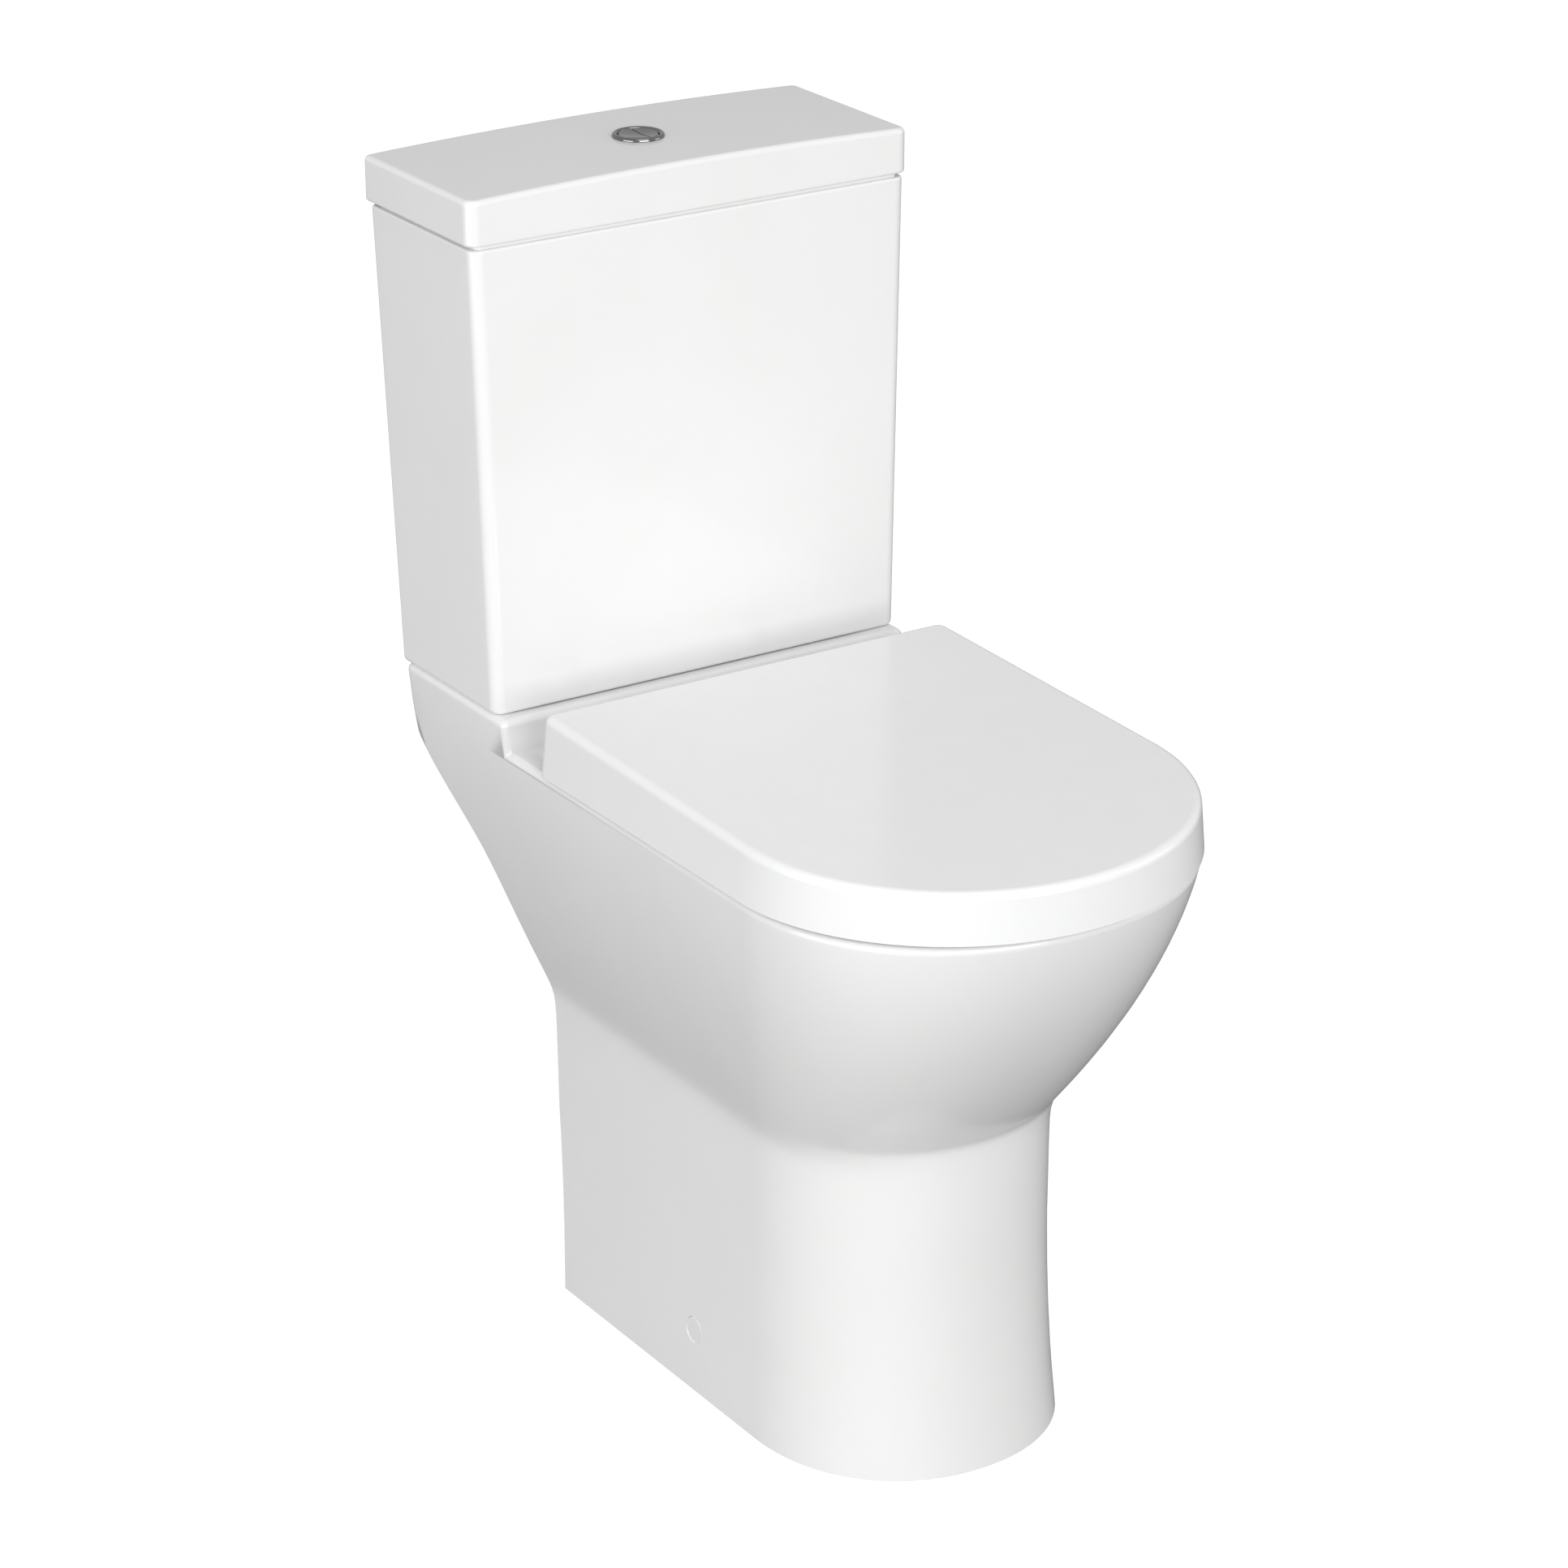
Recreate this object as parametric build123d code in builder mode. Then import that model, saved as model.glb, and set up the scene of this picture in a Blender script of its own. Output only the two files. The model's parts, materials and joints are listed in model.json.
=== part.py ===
from build123d import *
from math import sqrt
import os

# Close coupled toilet: an open-backed pan, a cistern bolted to its deck, and a wrap-over seat.
# X runs left to right, +Y to the wall and +Z up, in millimetres. The origin is on the floor,
# in the middle of the space that the toilet takes up. Depths are distances from the wall,
# as a plumber measures them, and back() turns one into a Y.

os.makedirs("parts", exist_ok=True)

# ---- driving dimensions ----
PROJECTION = 645.3      # wall to the tip of the seat lid
WALL_Y = PROJECTION / 2
CLAY = 11.0             # thickness of the pan's walls
LEDGE_Z = 461.0         # top of the pan's rim
DECK_Z = 485.7          # top of the deck that carries the cistern
DECK_REAR = 20.0
DECK_FRONT = 166.0
RIM_SLAB = 12.0         # thickness of the rim and of the deck
FOOT_HALF_WIDTH = 110.9
FOOT_TIP = 522.0
FOOT_FLARE_Z = 170.0    # the foot widens below this height
RIM_HALF_WIDTH = 173.2
RIM_TIP = 642.0
SHOULDER = 402.0        # where the foot's straight sides end
EDGE_R = 5.0            # glazed edges of the rim and deck
FLARE = 5.8             # how much wider the foot is at the floor, on each side
FRONT_FLARE = 10.0      # and how much longer at the front
CREASE_Z = 243.0        # where the bowl leaves the foot, at the sides
CREASE_FRONT_Z = 256.0  # and at the front

CISTERN_TOP = 831.0
CISTERN_WALL = 9.0
LID_BOTTOM = 833.7
LID_SIDE_TOP = 866.7
LID_CROWN = 870.6
LID_ROOF = 856.0        # underside of the cistern lid
LID_HALF_WIDTH = 183.2
LID_DEPTH = 152.0

VALVE_D = 76.0          # the flush valve and button stand at this distance from the wall
FILL_X = 120.0
BOLT_X = 86.0
HINGE_X = 78.0
HINGE_BOLT_D = 193.0
HINGE_D = 202.0         # hinge axis
HINGE_Z = 482.0
BARREL_R = 8.0
PIN_R = 5.0
RUNNING_FIT = 0.06
FILL_SHANK_R = 10.9     # fill valve's shank where it passes through the cistern's floor
FILL_TAIL_R = 10.5      # its half inch tail below, which takes the supply

SEAT_REAR = 215.6
SEAT_SHOULDER = 480.6
SEAT_HALF_WIDTH = 174.5
SEAT_BOTTOM = 463.8
SEAT_FULLNESS = 0.5523  # a true ellipse at the front, while the pan's nose is a little fuller
OUTLET_Z = 190.0
OUTLET_R = 51.0
FIXING_D = 322.0
FIXING_Z = 47.5

# radii of the holes that fixings and valves pass through
BOLT_HOLE_R = 6.0
INLET_HOLE_R = 22.0
HINGE_HOLE_R = 6.5
SCREW_HOLE_R = 5.0
CAP_SOCKET_R = 10.4
FLUSH_HOLE_R = 33.0
CISTERN_BOLT_HOLE_R = 5.5
CISTERN_INLET_HOLE_R = 11.5
BUTTON_HOLE_R = 17.0


def back(distance):
    return WALL_Y - distance


def finish(builder, name):
    """Label a finished piece and write its file."""
    builder.part.label = name
    export_step(builder.part, f"parts/{name}.step")


def nose_outline(half_width, rear, shoulder, tip, fullness):
    """Plan outline: square back, straight sides, and a rounded front of two mirrored curves."""
    side = back(shoulder)
    reach = (tip - shoulder) * fullness
    flat = half_width * fullness
    with BuildLine() as outline:
        left = Bezier((-half_width, side), (-half_width, side - reach), (-flat, back(tip)), (0, back(tip)))
        right = Bezier((0, back(tip)), (flat, back(tip)), (half_width, side - reach), (half_width, side))
        Polyline(right @ 1, (half_width, back(rear)), (-half_width, back(rear)), left @ 0)
    return outline.line


def nose_section(height, half_width, rear, shoulder, tip, corner, fullness=0.59):
    """A plan outline as a flat sketch at one height, with its rear corners rounded."""
    with BuildSketch(Plane.XY.offset(height)) as section:
        add(nose_outline(half_width, rear, shoulder, tip, fullness))
        make_face()
        fillet(section.vertices().group_by(Axis.Y)[-1], corner)
    return section.sketch


# ---- pan: the outer skin is a foot that swells into a bowl, both worked out by height ----
def swell(height, foot, flare, rim, crease, power):
    """Size at one height: the flared foot and the swelling bowl, blended softly at their crease."""
    low = foot + flare * max(0.0, 1 - height / FOOT_FLARE_Z) ** 2
    below_rim = max(0.0, (DECK_Z - height) / (DECK_Z - crease))
    bowl = rim - (rim - foot) * below_rim ** power
    softness = 1.6
    return (low + bowl) / 2 + sqrt(((low - bowl) / 2) ** 2 + softness ** 2)


def pan_half_width(height):
    return swell(height, FOOT_HALF_WIDTH, FLARE, RIM_HALF_WIDTH, CREASE_Z, 1.54)


def pan_tip(height):
    return swell(height, FOOT_TIP, FRONT_FLARE, RIM_TIP, CREASE_FRONT_Z, 1.65)


def pan_shoulder(height):
    return SHOULDER + 1.3 * (pan_half_width(height) - FOOT_HALF_WIDTH)


def pan_sections(top, inset, rear, corner, steps=32):
    """Evenly spaced outlines of the pan from the floor to a height, moved in by an inset."""
    heights = [top * step / steps for step in range(steps + 1)]
    return [
        nose_section(z, pan_half_width(z) - inset, rear, pan_shoulder(z), pan_tip(z) - inset, corner)
        for z in heights
    ]


# Bowl: half-width, rear, shoulder and tip of the inside, at even steps up from the sump.
BOWL_BOTTOM = 77.0
BOWL_RINGS = [
    (30.0, 374.0, 400.0, 428.0),
    (39.0, 373.0, 403.0, 440.0),
    (43.0, 371.0, 407.0, 452.0),
    (53.0, 357.0, 414.0, 470.0),
    (72.0, 333.0, 425.0, 503.0),
    (95.0, 302.0, 442.0, 546.0),
    (112.0, 278.0, 458.0, 577.0),
    (121.0, 266.0, 468.0, 594.0),
    (122.0, 264.0, 470.0, 597.0),
]
BOWL_WALL = 10.0


def bowl_sections(offset, top):
    """Outlines of the inside of the bowl up to a height, moved outwards by an offset."""
    low = BOWL_BOTTOM - offset
    step = (top - low) / (len(BOWL_RINGS) - 1)
    return [
        nose_section(
            low + step * level, half + offset, rear - offset, shoulder, tip + offset,
            min(half + offset - 6, 26),
        )
        for level, (half, rear, shoulder, tip) in enumerate(BOWL_RINGS)
    ]


with BuildPart() as pan_skin:
    loft(pan_sections(DECK_Z, 0, DECK_REAR, 9))

with BuildPart() as pan_hollow:
    loft(pan_sections(LEDGE_Z - RIM_SLAB, CLAY, DECK_REAR + CLAY, 5))

with BuildPart() as bowl_body:
    loft(bowl_sections(BOWL_WALL, LEDGE_Z - 5))

with BuildPart() as bowl_inside:
    loft(bowl_sections(0, LEDGE_Z + 2))

# Water leaves the sump forwards of the dip, climbs to the weir and drops to the outlet.
TRAP_PATH = [
    (0, back(402), 115),
    (0, back(325), 115),
    (0, back(262), 286),
    (0, back(184), OUTLET_Z),
    (0, back(70), OUTLET_Z),
]
TRAP_RADII = 48.2


def trap_tube(radius):
    """The trapway as a solid rod of one radius along its path."""
    with BuildPart() as tube:
        with BuildLine() as route:
            FilletPolyline(*TRAP_PATH, radius=TRAP_RADII)
        with BuildSketch(Plane(route.line @ 0, z_dir=route.line % 0)):
            Circle(radius)
        sweep(path=route.line)
    return tube.part


trap_outside = trap_tube(47.0)
trap_bore = trap_tube(38.0)

SPIGOT_END_D = 76.0
SPIGOT_LENGTH = 64.0
DUCT_Z = 424.0          # middle of the flush duct that runs forwards under the deck
DUCT_FRONT = 275.0
GASKET_SEAT_R = 53.0
GASKET_SEAT_DEPTH = 14.0
CUT_HALF_WIDTH = 250.0  # wide enough to cut right across

with BuildPart() as pan_body:
    add(pan_skin.part)
    # the ledge in front of the deck, with a hollow corner where they meet
    with BuildSketch(Plane.YZ) as step_profile:
        with BuildLine():
            Polyline(
                (back(700), LEDGE_Z), (back(DECK_FRONT), LEDGE_Z), (back(DECK_FRONT), 520), (back(700), 520),
                close=True,
            )
        make_face()
        inner_corner = step_profile.vertices().group_by(Axis.Z)[0].sort_by(Axis.Y)[-1]
        fillet(inner_corner, 9)
    extrude(amount=CUT_HALF_WIDTH, both=True, mode=Mode.SUBTRACT)
    # the back sweeps down from the deck to the open rear of the foot
    with BuildSketch(Plane.YZ):
        with BuildLine():
            sweep_down = Spline(
                (back(DECK_REAR), 446), (back(50), 400), (back(88), 355), (back(107), 305), (back(119), 260),
                (back(126), 215), tangents=((-0.35, -1), (0, -1)),
            )
            Polyline(
                sweep_down @ 1, (back(127.5), 150), (back(140.7), -1), (back(-20), -1), (back(-20), 446),
                sweep_down @ 0,
            )
        make_face()
    extrude(amount=CUT_HALF_WIDTH, both=True, mode=Mode.SUBTRACT)
    upper_edges = pan_body.edges().filter_by_position(Axis.Z, LEDGE_Z - 0.1, DECK_Z + 0.1)
    hollow_corner = upper_edges.filter_by(Axis.X).filter_by_position(Axis.Z, LEDGE_Z - 1, LEDGE_Z + 12)
    fillet([edge for edge in upper_edges if edge not in hollow_corner], EDGE_R)
    # hollow inside, open to the floor and to the back
    add(pan_hollow.part, mode=Mode.SUBTRACT)
    with Locations((0, back((DECK_REAR + DECK_FRONT) / 2), (DECK_Z - RIM_SLAB + 440) / 2)):
        Box(300, DECK_FRONT - DECK_REAR - 2 * CLAY, DECK_Z - RIM_SLAB - 440, mode=Mode.SUBTRACT)
    # bowl, trap, flush duct and the thick seat for the cistern's outlet
    add(bowl_body.part)
    add(trap_outside)
    with BuildSketch(Plane.XZ.offset(-back(SPIGOT_END_D + SPIGOT_LENGTH))):
        with Locations((0, OUTLET_Z)):
            Circle(OUTLET_R)
    extrude(amount=-SPIGOT_LENGTH)
    with Locations((0, back(148), DUCT_Z)):
        Box(104, 220, 50)
    with Locations((0, back(VALVE_D), (452 + DECK_Z) / 2)):
        Cylinder(GASKET_SEAT_R + 10, DECK_Z - 452)
    # clear ways for water
    add(bowl_inside.part, mode=Mode.SUBTRACT)
    add(trap_bore, mode=Mode.SUBTRACT)
    with Locations((0, back((48 + DUCT_FRONT) / 2), DUCT_Z)):
        Box(84, DUCT_FRONT - 48, 30, mode=Mode.SUBTRACT)
    with Locations((0, back(VALVE_D), DUCT_Z + 6)):
        Cylinder(36, 80, align=(Align.CENTER, Align.CENTER, Align.MIN), mode=Mode.SUBTRACT)
    with Locations((0, back(VALVE_D), DECK_Z - GASKET_SEAT_DEPTH)):
        Cylinder(GASKET_SEAT_R, 20, align=(Align.CENTER, Align.CENTER, Align.MIN), mode=Mode.SUBTRACT)
    # holes through the deck, the rim and the sides of the foot
    with Locations((-BOLT_X, back(VALVE_D), DECK_Z), (BOLT_X, back(VALVE_D), DECK_Z)):
        Cylinder(BOLT_HOLE_R, 60, mode=Mode.SUBTRACT)
    with Locations((FILL_X, back(VALVE_D), DECK_Z)):
        Cylinder(INLET_HOLE_R, 60, mode=Mode.SUBTRACT)
    with Locations((-HINGE_X, back(HINGE_BOLT_D), LEDGE_Z), (HINGE_X, back(HINGE_BOLT_D), LEDGE_Z)):
        Cylinder(HINGE_HOLE_R, 50, mode=Mode.SUBTRACT)
    with Locations(Location((0, back(FIXING_D), FIXING_Z), (0, 90, 0))):
        Cylinder(SCREW_HOLE_R, 300, mode=Mode.SUBTRACT)

# A shallow round socket on each side of the foot takes the cap that hides a fixing screw.
SOCKET_DEPTH = 3.0
foot_side = pan_half_width(FIXING_Z)
with BuildPart() as pan:
    add(pan_body.part)
    for hand in (-1, 1):
        with BuildSketch(Plane.YZ.offset(hand * (foot_side - SOCKET_DEPTH))):
            with Locations((back(FIXING_D), FIXING_Z)):
                Circle(CAP_SOCKET_R)
        extrude(amount=hand * 10, mode=Mode.SUBTRACT)
finish(pan, "pan")
print("pan", round(pan.part.volume / 1000), "cm3")


# ---- cistern ----
def rounded_slab(height, half_width, front, rear, front_r, rear_r):
    """A rectangle across the cistern at one height, with its upright corners rounded."""
    with BuildSketch(Plane.XY.offset(height)) as slab:
        with Locations((0, (back(front) + back(rear)) / 2)):
            Rectangle(2 * half_width, front - rear)
        fillet(slab.vertices().group_by(Axis.Y)[0], front_r)
        fillet(slab.vertices().group_by(Axis.Y)[-1], rear_r)
    return slab.sketch


# Half-width, front and rear of the tapering cistern at its foot and at its top.
CISTERN_FOOT = (173.0, 155.0, 16.5)
CISTERN_HEAD = (181.0, 152.0, 4.5)
FLOOR_Z = DECK_Z + CISTERN_WALL + 1     # inside floor of the cistern


def inner_slab(height, size):
    """The inside of the cistern at one height, a wall's thickness within its outline."""
    half_width, front, rear = size
    return rounded_slab(
        height, half_width - CISTERN_WALL, front - CISTERN_WALL, rear + CISTERN_WALL, 4, 4
    )


with BuildPart() as cistern_inside:
    loft([inner_slab(FLOOR_Z, CISTERN_FOOT), inner_slab(CISTERN_TOP + 1, CISTERN_HEAD)])

with BuildPart() as cistern_body:
    loft([rounded_slab(DECK_Z, *CISTERN_FOOT, 9, 5), rounded_slab(CISTERN_TOP, *CISTERN_HEAD, 9, 5)])
    fillet(cistern_body.faces().sort_by(Axis.Z)[0].edges(), 4)
    fillet(cistern_body.faces().sort_by(Axis.Z)[-1].edges(), 2)
    add(cistern_inside.part, mode=Mode.SUBTRACT)
    with Locations((0, back(VALVE_D), DECK_Z)):
        Cylinder(FLUSH_HOLE_R, 40, mode=Mode.SUBTRACT)
    with Locations((-BOLT_X, back(VALVE_D), DECK_Z), (BOLT_X, back(VALVE_D), DECK_Z)):
        Cylinder(CISTERN_BOLT_HOLE_R, 40, mode=Mode.SUBTRACT)
    with Locations((FILL_X, back(VALVE_D), DECK_Z)):
        Cylinder(CISTERN_INLET_HOLE_R, 40, mode=Mode.SUBTRACT)
finish(cistern_body, "cistern_body")

with BuildPart() as cistern_lid:
    with BuildSketch(Plane.XZ.offset(-WALL_Y)):
        with BuildLine():
            crown = ThreePointArc(
                (-LID_HALF_WIDTH, LID_SIDE_TOP), (0, LID_CROWN), (LID_HALF_WIDTH, LID_SIDE_TOP)
            )
            Polyline(crown @ 1, (LID_HALF_WIDTH, LID_BOTTOM), (-LID_HALF_WIDTH, LID_BOTTOM), crown @ 0)
        make_face()
    extrude(amount=LID_DEPTH)
    fillet(cistern_lid.edges().filter_by(Axis.Z).group_by(Axis.Y)[0], 9)
    fillet(cistern_lid.edges().filter_by(Axis.Z).group_by(Axis.Y)[-1], 5)
    fillet(cistern_lid.faces().sort_by(Axis.Z)[-1].edges(), 4)
    fillet(cistern_lid.faces().sort_by(Axis.Z)[0].edges(), 2)
    # hollow underside, a rim that rests on the cistern and a lip that drops inside it
    extrude(rounded_slab(CISTERN_TOP, 176, 148, 8.5, 5, 5), amount=10)
    extrude(rounded_slab(CISTERN_TOP - 9, 168.5, 140, 16.5, 4, 4), amount=12)
    lip_bottom = CISTERN_TOP - 12
    extrude(rounded_slab(lip_bottom, 163, 134.5, 22, 4, 4), amount=LID_ROOF - lip_bottom, mode=Mode.SUBTRACT)
    with Locations((0, back(VALVE_D), LID_CROWN)):
        Cylinder(BUTTON_HOLE_R, 60, mode=Mode.SUBTRACT)
finish(cistern_lid, "cistern_lid")

# ---- push button ----
BUTTON_TOP = 872.4
BUTTON_BOTTOM = 858.0
BEZEL_BORE = 15.0
BEZEL_TOP = 873.2
BEZEL_BOTTOM = 826.0
SHANK_R = 16.6          # outside of the bezel's threaded shank
BUTTON_R = 14.7
SPLIT_X = 2.5           # the two halves meet here, so the full flush is the larger one
HALF_GAP = 0.4          # from each half to the line where they meet
FULL_ROD_X = -7.0
HALF_ROD_X = 9.0
ROD_R = 2.4
ROD_BOTTOM = 796.0
DISH_R = 90.0           # radius of the hollow top of the button
DISH_DEPTH = 1.1
with BuildPart() as button_bezel:
    with BuildSketch(Plane.XZ.offset(-back(VALVE_D))):
        with BuildLine():
            Polyline(
                (BEZEL_BORE, BEZEL_BOTTOM), (SHANK_R, BEZEL_BOTTOM), (SHANK_R, LID_CROWN), (18.2, LID_CROWN),
                (19.2, LID_CROWN + 0.8), (18.8, LID_CROWN + 1.8), (17.4, BEZEL_TOP), (16, BEZEL_TOP),
                (BEZEL_BORE, BEZEL_TOP - 1),
                close=True,
            )
        make_face()
    revolve(axis=Axis((0, back(VALVE_D), 0), (0, 0, 1)))
    # a shelf under the buttons with a hole for each push rod
    with Locations((0, back(VALVE_D), BEZEL_BOTTOM + 2)):
        Cylinder(BEZEL_BORE + 0.5, 4)
    with Locations((FULL_ROD_X, back(VALVE_D), BEZEL_BOTTOM), (HALF_ROD_X, back(VALVE_D), BEZEL_BOTTOM)):
        Cylinder(ROD_R + 0.6, 20, mode=Mode.SUBTRACT)
finish(button_bezel, "button_bezel")

with BuildPart() as button_nut:
    with BuildSketch(Plane.XY.offset(LID_ROOF - 8)):
        with Locations((0, back(VALVE_D))):
            RegularPolygon(24, 6)
            Circle(SHANK_R, mode=Mode.SUBTRACT)
    extrude(amount=7.9)
    chamfer(button_nut.edges().filter_by(Axis.Z), 2)
finish(button_nut, "button_nut")


def half_button(hand, rod_x):
    """One half of the round button, dished on top, with its push rod below."""
    with BuildPart() as half:
        with BuildSketch(Plane.XY.offset(BUTTON_BOTTOM)):
            with Locations((0, back(VALVE_D))):
                Circle(BUTTON_R)
            with Locations((SPLIT_X - hand * (20 - HALF_GAP), back(VALVE_D))):
                Rectangle(40, 40, mode=Mode.SUBTRACT)
        extrude(amount=BUTTON_TOP - BUTTON_BOTTOM)
        chamfer(half.faces().sort_by(Axis.Z)[-1].edges(), 0.6)
        with Locations((0, back(VALVE_D), BUTTON_TOP + DISH_R - DISH_DEPTH)):
            Sphere(DISH_R, mode=Mode.SUBTRACT)
        with Locations((rod_x, back(VALVE_D), ROD_BOTTOM)):
            Cylinder(ROD_R, BUTTON_BOTTOM + 1 - ROD_BOTTOM, align=(Align.CENTER, Align.CENTER, Align.MIN))
    return half


full_flush_button = half_button(-1, FULL_ROD_X)
finish(full_flush_button, "full_flush_button")
half_flush_button = half_button(1, HALF_ROD_X)
finish(half_flush_button, "half_flush_button")

# ---- flush valve, all on one upright axis ----
SEAT_Z = FLOOR_Z + 8    # the plunger's seal shuts the outlet at this height
SHANK_BOTTOM = 454.0
FLUSH_SHANK_R = 31.5
BASKET_R = 40.0
BASKET_WALL = 4.0
BASKET_TOP = 562.0
FLANGE_R = 47.0
PLUNGER_R = 30.0
TUBE_R = 13.0
TUBE_TOP = 745.0
with BuildPart() as flush_valve_body:
    with BuildSketch(Plane.XZ.offset(-back(VALVE_D))):
        with BuildLine():
            Polyline(
                (26, SHANK_BOTTOM), (FLUSH_SHANK_R, SHANK_BOTTOM), (FLUSH_SHANK_R, FLOOR_Z + 3),
                (FLANGE_R, FLOOR_Z + 3), (FLANGE_R, FLOOR_Z + 7), (BASKET_R, SEAT_Z), (BASKET_R, BASKET_TOP),
                (BASKET_R - BASKET_WALL, BASKET_TOP), (BASKET_R - BASKET_WALL, SEAT_Z), (28, SEAT_Z),
                (26, SEAT_Z - 2),
                close=True,
            )
        make_face()
    revolve(axis=Axis((0, back(VALVE_D), 0), (0, 0, 1)))
    # water windows round the basket
    for turn in range(3):
        with Locations(Location((0, back(VALVE_D), 530), (0, 0, 60 * turn))):
            Box(100, 22, 44, mode=Mode.SUBTRACT)
finish(flush_valve_body, "flush_valve_body")

HEAD_Z = 780.0          # the actuator head sits on the tower at this height
with BuildPart() as flush_valve_tower:
    with BuildSketch(Plane.XY.offset(BASKET_TOP)):
        with Locations((0, back(VALVE_D))):
            Circle(BASKET_R)
            Circle(33, mode=Mode.SUBTRACT)
    extrude(amount=HEAD_Z - BASKET_TOP)
    for turn in range(3):
        with Locations(Location((0, back(VALVE_D), 665), (0, 0, 60 * turn + 30))):
            Box(100, 26, 150, mode=Mode.SUBTRACT)
    # a floor near the top that guides the plunger's tube
    with Locations((0, back(VALVE_D), 757)):
        Cylinder(34, 6)
        Cylinder(TUBE_R + 0.6, 12, mode=Mode.SUBTRACT)
finish(flush_valve_tower, "flush_valve_tower")

with BuildPart() as actuator_head:
    with Locations((0, back(VALVE_D), HEAD_Z)):
        Cylinder(BASKET_R + 2, 24, align=(Align.CENTER, Align.CENTER, Align.MIN))
    fillet(actuator_head.faces().sort_by(Axis.Z)[-1].edges(), 4)
    with Locations((0, back(VALVE_D), HEAD_Z - 1)):
        Cylinder(36, 8, align=(Align.CENTER, Align.CENTER, Align.MIN), mode=Mode.SUBTRACT)
    with Locations((FULL_ROD_X, back(VALVE_D), HEAD_Z + 20), (HALF_ROD_X, back(VALVE_D), HEAD_Z + 20)):
        Cylinder(ROD_R + 0.4, 50, mode=Mode.SUBTRACT)
finish(actuator_head, "actuator_head")

with BuildPart() as flush_plunger:
    with BuildSketch(Plane.XZ.offset(-back(VALVE_D))):
        with BuildLine():
            Polyline(
                (10, SEAT_Z - 18), (TUBE_R, SEAT_Z - 18), (TUBE_R, SEAT_Z + 3.2), (PLUNGER_R, SEAT_Z + 3.2),
                (PLUNGER_R, SEAT_Z + 6), (TUBE_R, SEAT_Z + 12), (TUBE_R, TUBE_TOP), (10, TUBE_TOP),
                close=True,
            )
        make_face()
    revolve(axis=Axis((0, back(VALVE_D), 0), (0, 0, 1)))
finish(flush_plunger, "flush_plunger")


def ring(builder_name, x, distance, low, high, inner, outer):
    """A plain ring on an upright axis, written as its own piece."""
    with BuildPart() as hoop:
        with BuildSketch(Plane.XY.offset(low)):
            with Locations((x, back(distance))):
                Circle(outer)
                Circle(inner, mode=Mode.SUBTRACT)
        extrude(amount=high - low)
        chamfer(hoop.edges().filter_by(GeomType.CIRCLE), min(0.5, (high - low) / 4))
    finish(hoop, builder_name)


ring("plunger_seal", 0, VALVE_D, SEAT_Z, SEAT_Z + 3.2, TUBE_R, 32)
ring("flush_valve_gasket", 0, VALVE_D, FLOOR_Z, FLOOR_Z + 3, FLUSH_SHANK_R, FLANGE_R - 1)
ring("close_coupling_gasket", 0, VALVE_D, DECK_Z - GASKET_SEAT_DEPTH, DECK_Z, 44.5, GASKET_SEAT_R - 0.5)
ring("fill_valve_gasket", FILL_X, VALVE_D, FLOOR_Z, FLOOR_Z + 2.5, FILL_SHANK_R, 17)

with BuildPart() as flush_valve_nut:
    with BuildSketch(Plane.XY.offset(DECK_Z - 11)):
        with Locations((0, back(VALVE_D))):
            Circle(41)
            Circle(FLUSH_SHANK_R, mode=Mode.SUBTRACT)
    extrude(amount=11)
    for lug in range(6):
        with Locations(Location((0, back(VALVE_D), DECK_Z - 5.5), (0, 0, 60 * lug))):
            with Locations((41, 0, 0)):
                Box(5, 8, 11)
finish(flush_valve_nut, "flush_valve_nut")

# ---- fill valve, standing on the right of the cistern ----
COLUMN_R = 12.0
COLUMN_TOP = 770.0
TAIL_BOTTOM = 440.0
TAIL_TOP = 464.0
with BuildPart() as fill_valve_column:
    with BuildSketch(Plane.XZ.offset(-back(VALVE_D))):
        with BuildLine():
            Polyline(
                (FILL_X + 6, TAIL_BOTTOM), (FILL_X + FILL_TAIL_R, TAIL_BOTTOM),
                (FILL_X + FILL_TAIL_R, TAIL_TOP), (FILL_X + FILL_SHANK_R, TAIL_TOP + 0.4),
                (FILL_X + FILL_SHANK_R, FLOOR_Z + 2.5),
                (FILL_X + 19, FLOOR_Z + 2.5), (FILL_X + 19, FLOOR_Z + 8), (FILL_X + COLUMN_R, FLOOR_Z + 12),
                (FILL_X + COLUMN_R, COLUMN_TOP), (FILL_X + 6, COLUMN_TOP),
                close=True,
            )
        make_face()
    revolve(axis=Axis((FILL_X, back(VALVE_D), 0), (0, 0, 1)))
finish(fill_valve_column, "fill_valve_column")

PIVOT_Z = 799.0
PIVOT_R = 1.56
pivot = Location((FILL_X, back(VALVE_D), PIVOT_Z), (90, 0, 0))
with BuildPart() as fill_valve_head:
    with Locations((FILL_X, back(VALVE_D), COLUMN_TOP)):
        Cylinder(17, 24, align=(Align.CENTER, Align.CENTER, Align.MIN))
    fillet(fill_valve_head.faces().sort_by(Axis.Z)[-1].edges(), 3)
    # two ears that hold the lever's pin
    with Locations((FILL_X, back(VALVE_D) - 7, PIVOT_Z - 3), (FILL_X, back(VALVE_D) + 7, PIVOT_Z - 3)):
        Box(12, 4, 16)
    with Locations(pivot):
        Cylinder(PIVOT_R, 40, mode=Mode.SUBTRACT)
finish(fill_valve_head, "fill_valve_head")

with BuildPart() as fill_valve_pin:
    with Locations(pivot):
        Cylinder(PIVOT_R, 20)
finish(fill_valve_pin, "fill_valve_pin")

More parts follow.
